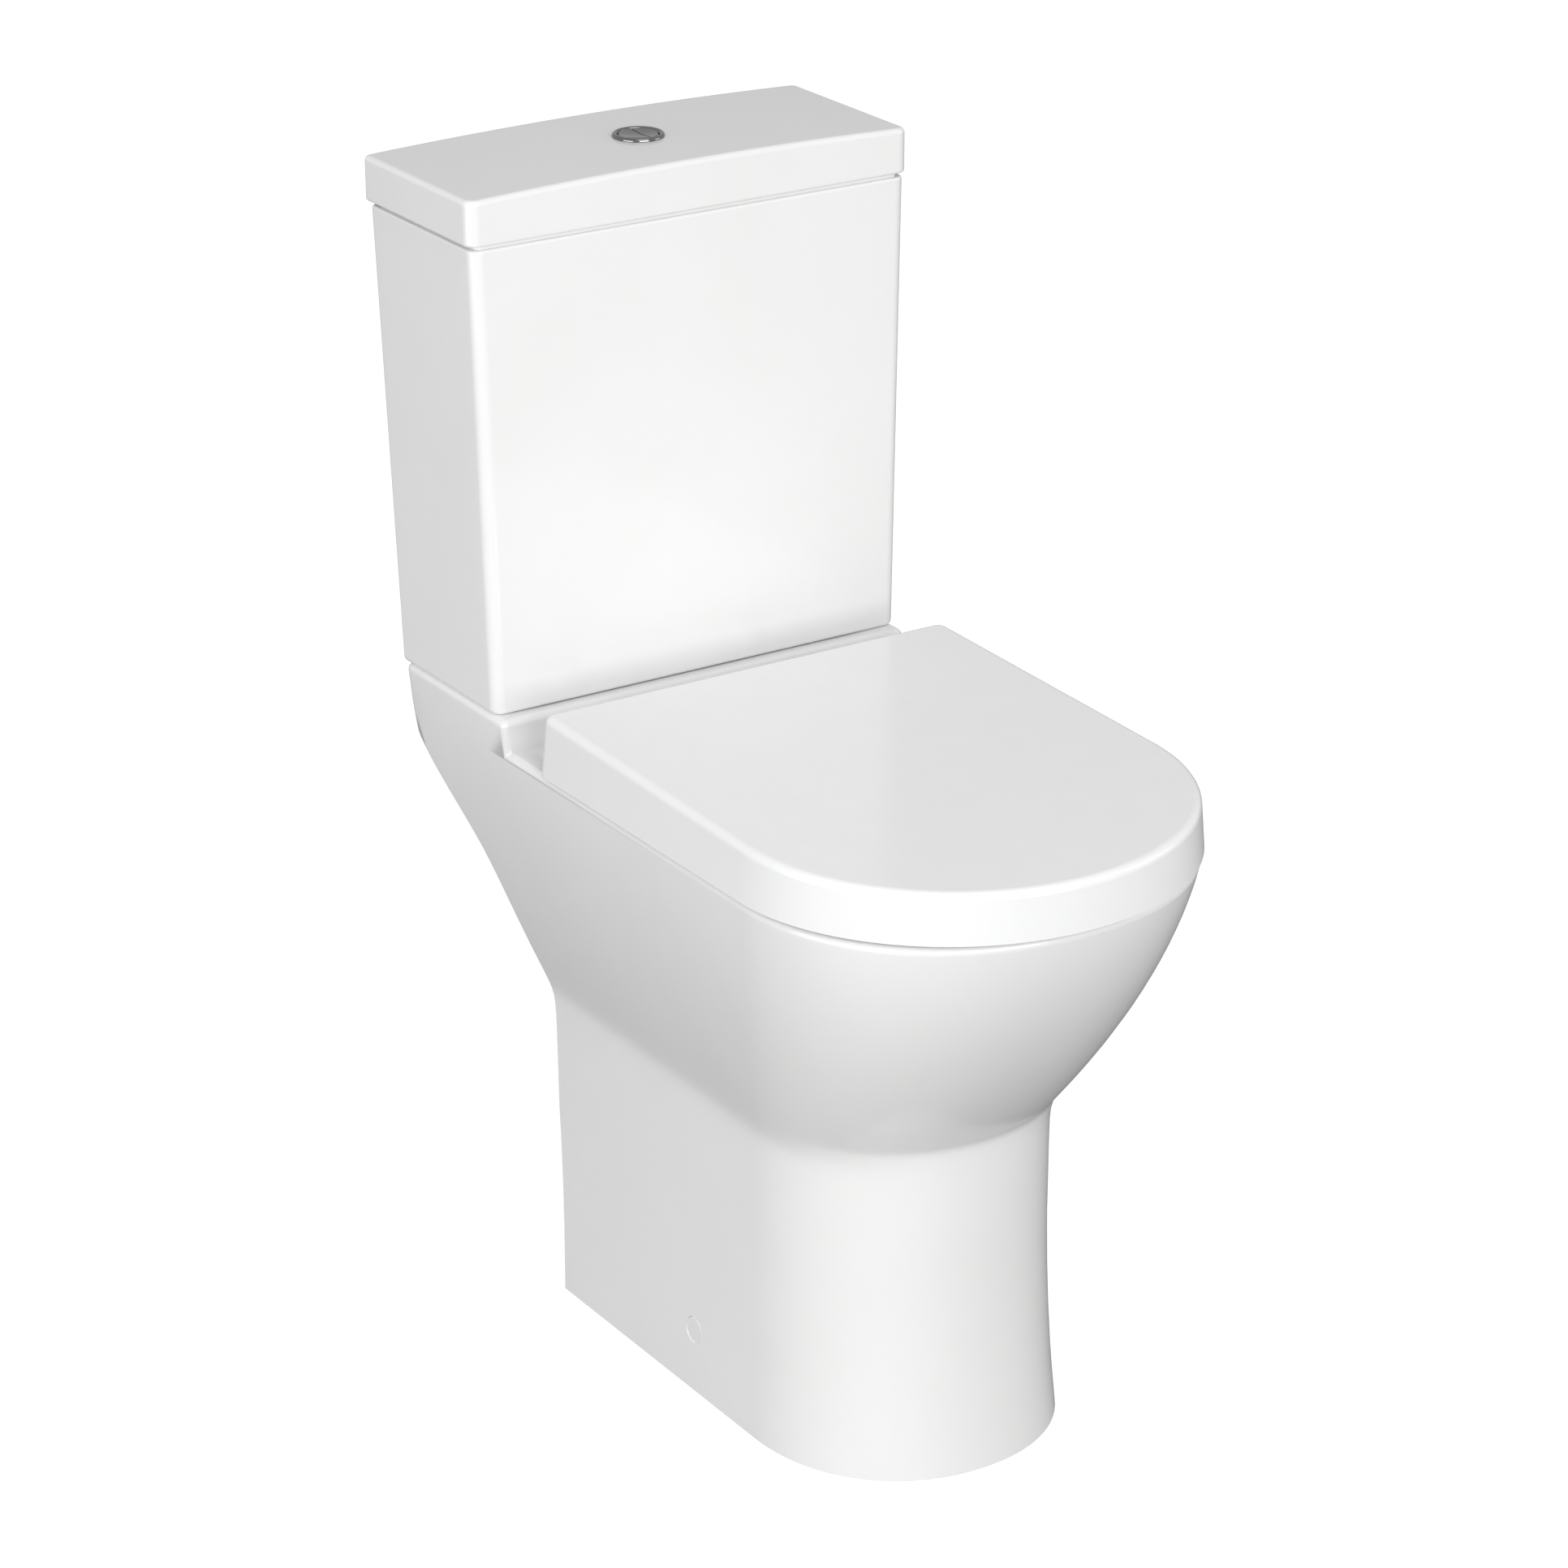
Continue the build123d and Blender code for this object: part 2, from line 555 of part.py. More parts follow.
with BuildPart() as fill_valve_lever:
    with Locations((FILL_X + 16, back(VALVE_D), PIVOT_Z)):
        Box(44, 8, 4)
    with Locations(pivot):
        Cylinder(4, 8)
    fillet(fill_valve_lever.edges().filter_by(Axis.Z), 1.5)
    with Locations(pivot):
        Cylinder(PIVOT_R + RUNNING_FIT, 20, mode=Mode.SUBTRACT)
finish(fill_valve_lever, "fill_valve_lever")

FLOAT_BOTTOM = 660.0
with BuildPart() as fill_valve_float:
    with Locations((FILL_X, back(VALVE_D), FLOAT_BOTTOM)):
        Cylinder(28, 70, align=(Align.CENTER, Align.CENTER, Align.MIN))
    fillet(fill_valve_float.edges().filter_by(GeomType.CIRCLE), 5)
    with Locations((FILL_X, back(VALVE_D), FLOAT_BOTTOM + 35)):
        Cylinder(COLUMN_R + 1, 100, mode=Mode.SUBTRACT)
    # the rod that lifts the lever
    with Locations((FILL_X + 24, back(VALVE_D), FLOAT_BOTTOM + 65)):
        Box(4, 6, 48, align=(Align.CENTER, Align.CENTER, Align.MIN))
finish(fill_valve_float, "fill_valve_float")

with BuildPart() as fill_valve_nut:
    with BuildSketch(Plane.XY.offset(DECK_Z - 9)):
        with Locations((FILL_X, back(VALVE_D))):
            RegularPolygon(17, 6)
            Circle(FILL_SHANK_R, mode=Mode.SUBTRACT)
    extrude(amount=9)
finish(fill_valve_nut, "fill_valve_nut")

# ---- the two coupling bolts with their washers and wing nuts ----
UNDER_DECK = DECK_Z - RIM_SLAB
BOLT_R = 3.9
BOLT_BOTTOM = 432.0
BOLT_SEAL = 5.0         # thickness of the rubber under each bolt's head
with BuildPart() as coupling_bolts:
    for x in (-BOLT_X, BOLT_X):
        with Locations((x, back(VALVE_D), BOLT_BOTTOM)):
            Cylinder(
                BOLT_R, FLOOR_Z + BOLT_SEAL - BOLT_BOTTOM, align=(Align.CENTER, Align.CENTER, Align.MIN)
            )
        with BuildSketch(Plane.XY.offset(FLOOR_Z + BOLT_SEAL)):
            with Locations((x, back(VALVE_D))):
                RegularPolygon(7.5, 6)
        extrude(amount=5.5)
finish(coupling_bolts, "coupling_bolts")


def pair(name, xs, distance, low, high, inner, outer):
    """Two equal rings, one on each side, as one group."""
    with BuildPart() as rings:
        with BuildSketch(Plane.XY.offset(low)):
            with Locations(*[(x, back(distance)) for x in xs]):
                Circle(outer)
                Circle(inner, mode=Mode.SUBTRACT)
        extrude(amount=high - low)
        chamfer(rings.edges().filter_by(GeomType.CIRCLE), min(0.4, (high - low) / 4))
    finish(rings, name)


BOLTS = (-BOLT_X, BOLT_X)
HINGES = (-HINGE_X, HINGE_X)
pair("coupling_bolt_seals", BOLTS, VALVE_D, FLOOR_Z, FLOOR_Z + BOLT_SEAL, BOLT_R, 13)
pair("coupling_washers", BOLTS, VALVE_D, UNDER_DECK - 2, UNDER_DECK, BOLT_R + 0.2, 12)

with BuildPart() as coupling_wing_nuts:
    for x in (-BOLT_X, BOLT_X):
        with Locations((x, back(VALVE_D), UNDER_DECK - 10)):
            Cylinder(8, 8, align=(Align.CENTER, Align.CENTER, Align.MIN))
            Box(30, 4, 6, align=(Align.CENTER, Align.CENTER, Align.MIN))
            Cylinder(BOLT_R, 20, mode=Mode.SUBTRACT)
finish(coupling_wing_nuts, "coupling_wing_nuts")

# ---- fixings of the foot to the floor ----
BRACKET_X = foot_side - CLAY - 7.6      # middle of a bracket's upright
BRACKET_HOLE_X = foot_side - CLAY - 33
BRACKET_HOLE_R = 4.0
SCREW_R = 3.0
with BuildPart() as floor_brackets:
    for hand in (-1, 1):
        with Locations((hand * BRACKET_X, back(FIXING_D), 0)):
            Box(12, 34, 66, align=(Align.CENTER, Align.CENTER, Align.MIN))
        with Locations((hand * (BRACKET_X - 20), back(FIXING_D), 0)):
            Box(40, 34, 8, align=(Align.CENTER, Align.CENTER, Align.MIN))
        with Locations((hand * BRACKET_HOLE_X, back(FIXING_D), 0)):
            Cylinder(BRACKET_HOLE_R, 30, mode=Mode.SUBTRACT)
    with Locations(Location((0, back(FIXING_D), FIXING_Z), (0, 90, 0))):
        Cylinder(SCREW_R, 300, mode=Mode.SUBTRACT)
finish(floor_brackets, "floor_brackets")

with BuildPart() as fixing_screws:
    for hand in (-1, 1):
        with Locations(Location((hand * (foot_side - 26), back(FIXING_D), FIXING_Z), (0, 90, 0))):
            Cylinder(SCREW_R, 46)
        with Locations(Location((hand * (foot_side - 4.75), back(FIXING_D), FIXING_Z), (0, 90, 0))):
            Cylinder(4.8, 3.5)
finish(fixing_screws, "fixing_screws")

with BuildPart() as fixing_caps:
    for hand in (-1, 1):
        with Locations(Location((hand * (foot_side - 1.6), back(FIXING_D), FIXING_Z), (0, 90, 0))):
            Cylinder(10, 2.8)
    fillet(fixing_caps.edges().filter_by(GeomType.CIRCLE), 0.8)
finish(fixing_caps, "fixing_caps")

# ---- seat lid: a shallow tray turned over, its top falling a little towards the front ----
LID_WALL = 3.6
LID_TOP_WALL = 4.5
LID_LEAN = 4.0          # how far the sides lean in over 50 mm
LID_REAR_TOP = 509.0
LID_FRONT_TOP = 499.5
BEYOND = 60.0           # the cutting profile runs this far past each end of the lid
SLOPE_OUT = 1.33        # what the top rises or falls over that length


def lid_block(inset, low, high):
    """The lid's outline carried upwards and leaning in."""
    with BuildPart() as block:
        lean = LID_LEAN * (high - low) / 50
        loft(
            [
                nose_section(
                    z, SEAT_HALF_WIDTH - inset - shift, SEAT_REAR + inset + shift / 2, SEAT_SHOULDER,
                    PROJECTION - inset - shift, 8.5 - inset, SEAT_FULLNESS,
                )
                for z, shift in ((low, 0.0), (high, lean))
            ]
        )
    return block.part


def under_slope(part, drop):
    """Cut a block off along the lid's sloping top, lowered by a distance."""
    with BuildPart() as cut:
        add(part)
        with BuildSketch(Plane.YZ):
            with BuildLine():
                Polyline(
                    (back(SEAT_REAR - BEYOND), 600),
                    (back(SEAT_REAR - BEYOND), LID_REAR_TOP + SLOPE_OUT - drop),
                    (back(PROJECTION + BEYOND), LID_FRONT_TOP - SLOPE_OUT - drop),
                    (back(PROJECTION + BEYOND), 600),
                    close=True,
                )
            make_face()
        extrude(amount=CUT_HALF_WIDTH, both=True, mode=Mode.SUBTRACT)
    return cut.part


with BuildPart() as seat_lid:
    add(under_slope(lid_block(0, SEAT_BOTTOM, SEAT_BOTTOM + 60), 0))
    fillet(seat_lid.faces().sort_by(Axis.Z)[-1].edges(), 6)
    lid_hollow = under_slope(lid_block(LID_WALL, SEAT_BOTTOM - 1, SEAT_BOTTOM + 59), LID_TOP_WALL)
    add(lid_hollow, mode=Mode.SUBTRACT)
    # slots in the rear wall for the hinge posts and the ring's arms
    with Locations((-HINGE_X - 8, back(SEAT_REAR), 478), (HINGE_X + 8, back(SEAT_REAR), 478)):
        Box(38, 20, 32, mode=Mode.SUBTRACT)
    # knuckles on the inner side of each post
    for hand in (-1, 1):
        with BuildSketch(Plane.YZ.offset(hand * (HINGE_X - 22))):
            with Locations((back(HINGE_D), HINGE_Z)):
                Circle(BARREL_R)
            with Locations((back(HINGE_D + 8), HINGE_Z + 2)):
                Rectangle(17, 11)
        extrude(amount=hand * 12)
        with Locations(Location((hand * (HINGE_X - 16), back(HINGE_D), HINGE_Z), (0, 90, 0))):
            Cylinder(PIN_R + RUNNING_FIT, 30, mode=Mode.SUBTRACT)
finish(seat_lid, "seat_lid")

# ---- seat ring ----
RING_BOTTOM = 465.0
RING_TOP = 485.0
with BuildPart() as ring_opening:
    loft(
        [
            nose_section(RING_BOTTOM - 1, 112, 292, 462, 584, 55, SEAT_FULLNESS),
            nose_section(RING_TOP + 1, 118, 286, 464, 590, 60, SEAT_FULLNESS),
        ]
    )

with BuildPart() as seat_ring:
    with BuildSketch(Plane.XY.offset(RING_BOTTOM)):
        add(nose_section(RING_BOTTOM, 168.0, 220.5, SEAT_SHOULDER, 637.5, 5, SEAT_FULLNESS))
    extrude(amount=RING_TOP - RING_BOTTOM)
    fillet(seat_ring.faces().sort_by(Axis.Z)[-1].edges(), 7)
    add(ring_opening.part, mode=Mode.SUBTRACT)
    for hand in (-1, 1):
        with BuildSketch(Plane.YZ.offset(hand * (HINGE_X + 10))):
            with Locations((back(HINGE_D), HINGE_Z)):
                Circle(BARREL_R)
            with Locations((back(HINGE_D + 11), 476)):
                Rectangle(24, 10)
        extrude(amount=hand * 12)
        with Locations(Location((hand * (HINGE_X + 16), back(HINGE_D), HINGE_Z), (0, 90, 0))):
            Cylinder(PIN_R + RUNNING_FIT, 30, mode=Mode.SUBTRACT)
finish(seat_ring, "seat_ring")

# ---- hinges ----
with BuildPart() as hinge_posts:
    for x in (-HINGE_X, HINGE_X):
        with Locations((x, back(HINGE_BOLT_D), LEDGE_Z)):
            Cylinder(17, 5, align=(Align.CENTER, Align.CENTER, Align.MIN))
        with BuildSketch(Plane.YZ.offset(x - 8)):
            with Locations((back(HINGE_D), HINGE_Z)):
                Circle(BARREL_R)
            with Locations((back(HINGE_D), (LEDGE_Z + 2 + HINGE_Z) / 2)):
                Rectangle(2 * BARREL_R, HINGE_Z - LEDGE_Z - 2)
        extrude(amount=16)
    with Locations(Location((0, back(HINGE_D), HINGE_Z), (0, 90, 0))):
        Cylinder(PIN_R, 300, mode=Mode.SUBTRACT)
    with Locations((-HINGE_X, back(HINGE_BOLT_D), LEDGE_Z), (HINGE_X, back(HINGE_BOLT_D), LEDGE_Z)):
        Cylinder(4, 11, mode=Mode.SUBTRACT)
finish(hinge_posts, "hinge_posts")

with BuildPart() as hinge_pins:
    for x in (-HINGE_X, HINGE_X):
        with Locations(Location((x, back(HINGE_D), HINGE_Z), (0, 90, 0))):
            Cylinder(PIN_R, 46)
    chamfer(hinge_pins.edges().filter_by(GeomType.CIRCLE), 0.6)
finish(hinge_pins, "hinge_pins")

HINGE_BOLT_R = 4.0
HINGE_BOLT_BOTTOM = 412.0
with BuildPart() as hinge_bolts:
    for x in (-HINGE_X, HINGE_X):
        with Locations((x, back(HINGE_BOLT_D), HINGE_BOLT_BOTTOM)):
            Cylinder(
                HINGE_BOLT_R, LEDGE_Z + 5.4 - HINGE_BOLT_BOTTOM,
                align=(Align.CENTER, Align.CENTER, Align.MIN),
            )
finish(hinge_bolts, "hinge_bolts")

UNDER_RIM = LEDGE_Z - RIM_SLAB
pair("hinge_washers", HINGES, HINGE_BOLT_D, UNDER_RIM - 3, UNDER_RIM, HINGE_BOLT_R + 0.1, 13)
with BuildPart() as hinge_nuts:
    with BuildSketch(Plane.XY.offset(UNDER_RIM - 13)):
        with Locations((-HINGE_X, back(HINGE_BOLT_D)), (HINGE_X, back(HINGE_BOLT_D))):
            RegularPolygon(11, 6)
            Circle(HINGE_BOLT_R, mode=Mode.SUBTRACT)
    extrude(amount=10)
finish(hinge_nuts, "hinge_nuts")

# ---- rubber feet under the ring and under the lid ----
FEET = [(-140, 330), (140, 330), (-98, 575), (98, 575)]
with BuildPart() as ring_buffers:
    with BuildSketch(Plane.XY.offset(LEDGE_Z)):
        with Locations(*[(x, back(d)) for x, d in FEET]):
            SlotOverall(26, 11)
    extrude(amount=RING_BOTTOM - LEDGE_Z)
    chamfer(ring_buffers.faces().filter_by(Plane.XY).group_by(Axis.Z)[0].edges(), 1)
finish(ring_buffers, "ring_buffers")

BUFFER_BLANK = 30.0     # taller than needed, as the lid's underside trims each one
with BuildPart() as lid_buffers_block:
    with BuildSketch(Plane.XY.offset(RING_TOP)):
        with Locations(*[(x * 0.97, back(d * 0.99)) for x, d in FEET]):
            Circle(6)
    extrude(amount=BUFFER_BLANK)
with BuildPart() as lid_buffers:
    add(under_slope(lid_buffers_block.part, LID_TOP_WALL))
finish(lid_buffers, "lid_buffers")
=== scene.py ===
# %% [markdown]
# # A close coupled toilet in Blender
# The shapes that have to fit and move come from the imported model, which is loaded first and
# never changed. This lesson adds the surfaces that the eye sees: white glaze over fired clay,
# moulded seat plastic, chrome and rubber, then a plain studio. All lengths are in metres.
#
# The glazed ware is worked out again as smooth surfaces. A triangulated solid shows its facets
# in a gloss reflection, while a dense grid from a formula reflects like real glaze.

# %% Load the frame
import json
import math

import bmesh
import bpy
import numpy as np
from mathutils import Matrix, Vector


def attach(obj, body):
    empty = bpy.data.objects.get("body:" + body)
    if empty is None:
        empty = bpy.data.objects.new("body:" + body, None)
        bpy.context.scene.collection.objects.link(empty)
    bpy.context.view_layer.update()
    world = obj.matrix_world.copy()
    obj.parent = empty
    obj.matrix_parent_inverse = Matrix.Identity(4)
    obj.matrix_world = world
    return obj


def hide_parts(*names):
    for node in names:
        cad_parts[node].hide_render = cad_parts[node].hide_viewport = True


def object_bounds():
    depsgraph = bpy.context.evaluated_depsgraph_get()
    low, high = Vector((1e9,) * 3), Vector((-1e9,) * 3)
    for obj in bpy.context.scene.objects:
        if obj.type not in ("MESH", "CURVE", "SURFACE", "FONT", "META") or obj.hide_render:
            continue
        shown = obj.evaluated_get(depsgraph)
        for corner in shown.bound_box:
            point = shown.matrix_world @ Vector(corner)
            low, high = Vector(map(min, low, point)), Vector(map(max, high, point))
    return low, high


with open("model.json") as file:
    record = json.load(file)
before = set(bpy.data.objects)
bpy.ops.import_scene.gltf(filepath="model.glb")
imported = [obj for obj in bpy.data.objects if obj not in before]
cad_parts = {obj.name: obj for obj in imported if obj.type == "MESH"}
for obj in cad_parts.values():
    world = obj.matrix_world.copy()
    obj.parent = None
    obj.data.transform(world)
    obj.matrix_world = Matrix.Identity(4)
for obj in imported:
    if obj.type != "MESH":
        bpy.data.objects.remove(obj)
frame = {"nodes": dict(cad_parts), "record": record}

CAD_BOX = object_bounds()
NODES = frame["nodes"]
print("nodes", len(NODES), "box", [round(v, 4) for v in (*CAD_BOX[0], *CAD_BOX[1])])

# %% [markdown]
# ## A helper for shader graphs
# Materials are small graphs. `link` joins two sockets and `put` adds a node with its settings,
# so that each material below reads as a list of what it is made of.

# %% Shader helpers
def put(tree, kind, **settings):
    """Add a shader node. Settings that name an input go to its socket, others to the node."""
    node = tree.nodes.new(kind)
    for key, value in settings.items():
        name = key.replace("_", " ")
        socket = next((s for s in node.inputs if s.name.lower() == name), None)
        if socket is not None and not hasattr(type(node), key):
            socket.default_value = value
        else:
            setattr(node, key, value)
    return node


def link(tree, source, target):
    tree.links.new(source, target)


def ramp(tree, factor, stops):
    """Straight-line map of a factor: from the first (value, result) pair to the second."""
    node = tree.nodes.new("ShaderNodeMapRange")
    (node.inputs["From Min"].default_value, node.inputs["To Min"].default_value) = stops[0]
    (node.inputs["From Max"].default_value, node.inputs["To Max"].default_value) = stops[1]
    link(tree, factor, node.inputs["Value"])
    return node.outputs["Result"]


print("shader helpers", put.__name__, link.__name__, ramp.__name__)


# %% [markdown]
# ## Glaze, as a shader node group
# Sanitary glaze is thick glass over clay. It levels out in the kiln but never quite: it keeps
# a long, shallow orange peel, a little cloudiness from the opacifier and a few fine pinholes.
# One group makes all three from Object coordinates, so they have a real size everywhere. It
# puts out a tint, a roughness and a height, and each material places it with its own values.

# %% Glaze group
PINHOLE_SHARE = 0.12  # depth of a pinhole as a share of the height of the orange peel


def group_socket(group, name, kind, side, value=None):
    socket = group.interface.new_socket(name=name, in_out=side, socket_type=kind)
    if value is not None:
        socket.default_value = value
    return socket


def glaze_skin_group():
    """Noise at three sizes: cloud 90 mm, peel 9 mm and pinholes under 1 mm."""
    group = bpy.data.node_groups.new("glaze_skin", "ShaderNodeTree")
    group_socket(group, "Body Colour", "NodeSocketColor", "INPUT", (0.8, 0.8, 0.8, 1))
    group_socket(group, "Cloud Colour", "NodeSocketColor", "INPUT", (0.75, 0.75, 0.75, 1))
    group_socket(group, "Smoothness", "NodeSocketFloat", "INPUT", 0.06)
    group_socket(group, "Peel", "NodeSocketFloat", "INPUT", 1.0)
    group_socket(group, "Colour", "NodeSocketColor", "OUTPUT")
    group_socket(group, "Roughness", "NodeSocketFloat", "OUTPUT")
    group_socket(group, "Height", "NodeSocketFloat", "OUTPUT")
    take = group.nodes.new("NodeGroupInput")
    give = group.nodes.new("NodeGroupOutput")
    place = put(group, "ShaderNodeTexCoord")

    cloud = put(group, "ShaderNodeTexNoise", scale=11.0, detail=3.0, roughness=0.55)
    peel = put(group, "ShaderNodeTexNoise", scale=95.0, detail=2.0, roughness=0.4)
    fine = put(group, "ShaderNodeTexNoise", scale=420.0, detail=2.0, roughness=0.5)
    pits = put(group, "ShaderNodeTexVoronoi", scale=130.0)
    for texture in (cloud, peel, fine, pits):
        link(group, place.outputs["Object"], texture.inputs["Vector"])

    tint = put(group, "ShaderNodeMix", data_type="RGBA")
    link(group, ramp(group, cloud.outputs["Fac"], ((0.35, 0.0), (0.7, 1.0))), tint.inputs["Factor"])
    link(group, take.outputs["Body Colour"], tint.inputs[6])
    link(group, take.outputs["Cloud Colour"], tint.inputs[7])
    link(group, tint.outputs[2], give.inputs["Colour"])

    spread = put(group, "ShaderNodeMath", operation="MULTIPLY_ADD")
    link(group, ramp(group, fine.outputs["Fac"], ((0.3, -0.3), (0.7, 0.5))), spread.inputs[0])
    link(group, take.outputs["Smoothness"], spread.inputs[1])
    link(group, take.outputs["Smoothness"], spread.inputs[2])
    link(group, spread.outputs[0], give.inputs["Roughness"])

    hole = ramp(group, pits.outputs["Distance"], ((0.0, -1.0), (0.09, 0.0)))
    waves = put(group, "ShaderNodeMath", operation="MULTIPLY_ADD")
    link(group, peel.outputs["Fac"], waves.inputs[0])
    link(group, take.outputs["Peel"], waves.inputs[1])
    weak_hole = put(group, "ShaderNodeMath", operation="MULTIPLY")
    link(group, hole, weak_hole.inputs[0])
    weak_hole.inputs[1].default_value = PINHOLE_SHARE
    link(group, weak_hole.outputs[0], waves.inputs[2])
    link(group, waves.outputs[0], give.inputs["Height"])
    return group


GLAZE_SKIN = glaze_skin_group()
print("glaze group", len(GLAZE_SKIN.nodes), "nodes")

# %% [markdown]
# ## Moulded plastic, as a shader node group
# Plastic copies its steel mould: the polished face of a seat is nearly flat with faint flow
# waves, and a plumbing moulding carries a fine spark-eroded grain. The same group does both,
# with its grain turned up or down.

# %% Moulding group
def moulded_skin_group():
    """Flow waves 30 mm long under a grain finer than half a millimetre."""
    group = bpy.data.node_groups.new("moulded_skin", "ShaderNodeTree")
    group_socket(group, "Body Colour", "NodeSocketColor", "INPUT", (0.8, 0.8, 0.8, 1))
    group_socket(group, "Shade", "NodeSocketFloat", "INPUT", 0.96)
    group_socket(group, "Roughness", "NodeSocketFloat", "INPUT", 0.2)
    group_socket(group, "Grain", "NodeSocketFloat", "INPUT", 0.3)
    group_socket(group, "Colour", "NodeSocketColor", "OUTPUT")
    group_socket(group, "Roughness", "NodeSocketFloat", "OUTPUT")
    group_socket(group, "Height", "NodeSocketFloat", "OUTPUT")
    take = group.nodes.new("NodeGroupInput")
    give = group.nodes.new("NodeGroupOutput")
    place = put(group, "ShaderNodeTexCoord")
    flow = put(group, "ShaderNodeTexNoise", scale=32.0, detail=2.0, roughness=0.5)
    grain = put(group, "ShaderNodeTexNoise", scale=2200.0, detail=3.0, roughness=0.6)
    for texture in (flow, grain):
        link(group, place.outputs["Object"], texture.inputs["Vector"])

    darker = put(group, "ShaderNodeVectorMath", operation="SCALE")
    link(group, take.outputs["Body Colour"], darker.inputs[0])
    link(group, take.outputs["Shade"], darker.inputs["Scale"])
    tint = put(group, "ShaderNodeMix", data_type="RGBA")
    link(group, ramp(group, flow.outputs["Fac"], ((0.3, 0.0), (0.75, 1.0))), tint.inputs["Factor"])
    link(group, take.outputs["Body Colour"], tint.inputs[6])
    link(group, darker.outputs[0], tint.inputs[7])
    link(group, tint.outputs[2], give.inputs["Colour"])

    uneven = put(group, "ShaderNodeMath", operation="MULTIPLY")
    link(group, ramp(group, flow.outputs["Fac"], ((0.3, 0.85), (0.7, 1.2))), uneven.inputs[0])
    link(group, take.outputs["Roughness"], uneven.inputs[1])
    link(group, uneven.outputs[0], give.inputs["Roughness"])

    height = put(group, "ShaderNodeMath", operation="MULTIPLY_ADD")
    link(group, grain.outputs["Fac"], height.inputs[0])
    link(group, take.outputs["Grain"], height.inputs[1])
    link(group, flow.outputs["Fac"], height.inputs[2])
    link(group, height.outputs[0], give.inputs["Height"])
    return group


MOULDED_SKIN = moulded_skin_group()
print("moulding group", len(MOULDED_SKIN.nodes), "nodes")

# %% [markdown]
# ## From a group to a material
# Each finish is a Principled BSDF fed by one of the two groups. Values that are the same all
# over, such as the coat and the index of refraction, are set straight on the shader's sockets.

# %% Finish helper
def finish_from(name, group, values, bump_mm, **plain):
    """A material: the group's colour, roughness and height into one Principled BSDF."""
    material = bpy.data.materials.new(name)
    material.use_nodes = True
    tree = material.node_tree
    tree.nodes.clear()
    out = put(tree, "ShaderNodeOutputMaterial")
    shader = put(tree, "ShaderNodeBsdfPrincipled")
    skin = put(tree, "ShaderNodeGroup")
    skin.node_tree = group
    for key, value in values.items():
        skin.inputs[key].default_value = value
    for key, value in plain.items():
        shader.inputs[key.replace("_", " ")].default_value = value
    bump = put(tree, "ShaderNodeBump")
    bump.inputs["Strength"].default_value = 1.0
    bump.inputs["Distance"].default_value = bump_mm / 1000
    link(tree, skin.outputs["Colour"], shader.inputs["Base Color"])
    link(tree, skin.outputs["Roughness"], shader.inputs["Roughness"])
    link(tree, skin.outputs["Height"], bump.inputs["Height"])
    link(tree, bump.outputs["Normal"], shader.inputs["Normal"])
    link(tree, shader.outputs["BSDF"], out.inputs["Surface"])
    return material


def grey(level, warm=0.0):
    """A near-neutral colour; warm above zero leans to yellow, below zero to blue."""
    return (level * (1 + warm), level, level * (1 - warm), 1)


print("finish helper", finish_from.__name__)

# %% [markdown]
# ## White glaze
# The pan, the cistern and its lid are fired clay under a thick white glaze. Plain white paint
# would look dead, so the body is a little below white with a faint cloud in it, and a thin
# coat gives the second, sharper layer of gloss that glass over clay has.

# %% Glaze
GLAZE = finish_from(
    "white_glaze", GLAZE_SKIN,
    {"Body Colour": grey(0.86, 0.002), "Cloud Colour": grey(0.845, 0.004), "Smoothness": 0.13, "Peel": 1.0},
    bump_mm=0.02, IOR=1.5, Coat_Weight=0.12, Coat_Roughness=0.08,
)
print("finish", GLAZE.name)

# %% [markdown]
# ## Seat plastic
# The seat and the caps on the foot are pressed from a hard white resin in polished moulds. They
# are a shade bluer than the glaze and a little softer in gloss, which tells the two apart.

# %% Seat plastic
SEAT_PLASTIC = finish_from(
    "seat_plastic", MOULDED_SKIN,
    {"Body Colour": grey(0.85, -0.002), "Shade": 0.985, "Roughness": 0.16, "Grain": 0.05},
    bump_mm=0.03, IOR=1.5,
)
print("finish", SEAT_PLASTIC.name)

# %% [markdown]
# ## Plumbing mouldings
# Valves, nuts and brackets come from plain moulds with a fine spark grain, so they are satin.
# White, blue and grey are the same finish with another colour, as they are in the factory.

# %% Plumbing mouldings
WHITE_MOULDING = finish_from(
    "white_moulding", MOULDED_SKIN,
    {"Body Colour": grey(0.78), "Shade": 0.94, "Roughness": 0.38, "Grain": 0.5},
    bump_mm=0.05, IOR=1.49,
)
BLUE_MOULDING = finish_from(
    "blue_moulding", MOULDED_SKIN,
    {"Body Colour": (0.02, 0.11, 0.36, 1), "Shade": 0.85, "Roughness": 0.4, "Grain": 0.5},
    bump_mm=0.05, IOR=1.49,
)
GREY_MOULDING = finish_from(
    "grey_moulding", MOULDED_SKIN,
    {"Body Colour": grey(0.28), "Shade": 0.9, "Roughness": 0.42, "Grain": 0.5},
    bump_mm=0.05, IOR=1.49,
)
print("finishes", WHITE_MOULDING.name, BLUE_MOULDING.name, GREY_MOULDING.name)

# %% [markdown]
# ## Chrome and zinc
# Chrome is a mirror, so its look is mostly the room's. In a room that is white all round a true
# mirror would vanish, and the darker tint stands for the unlit parts of a real room. Screws and
# bolts have dull zinc plating, which is the same metal shader with a rougher surface.

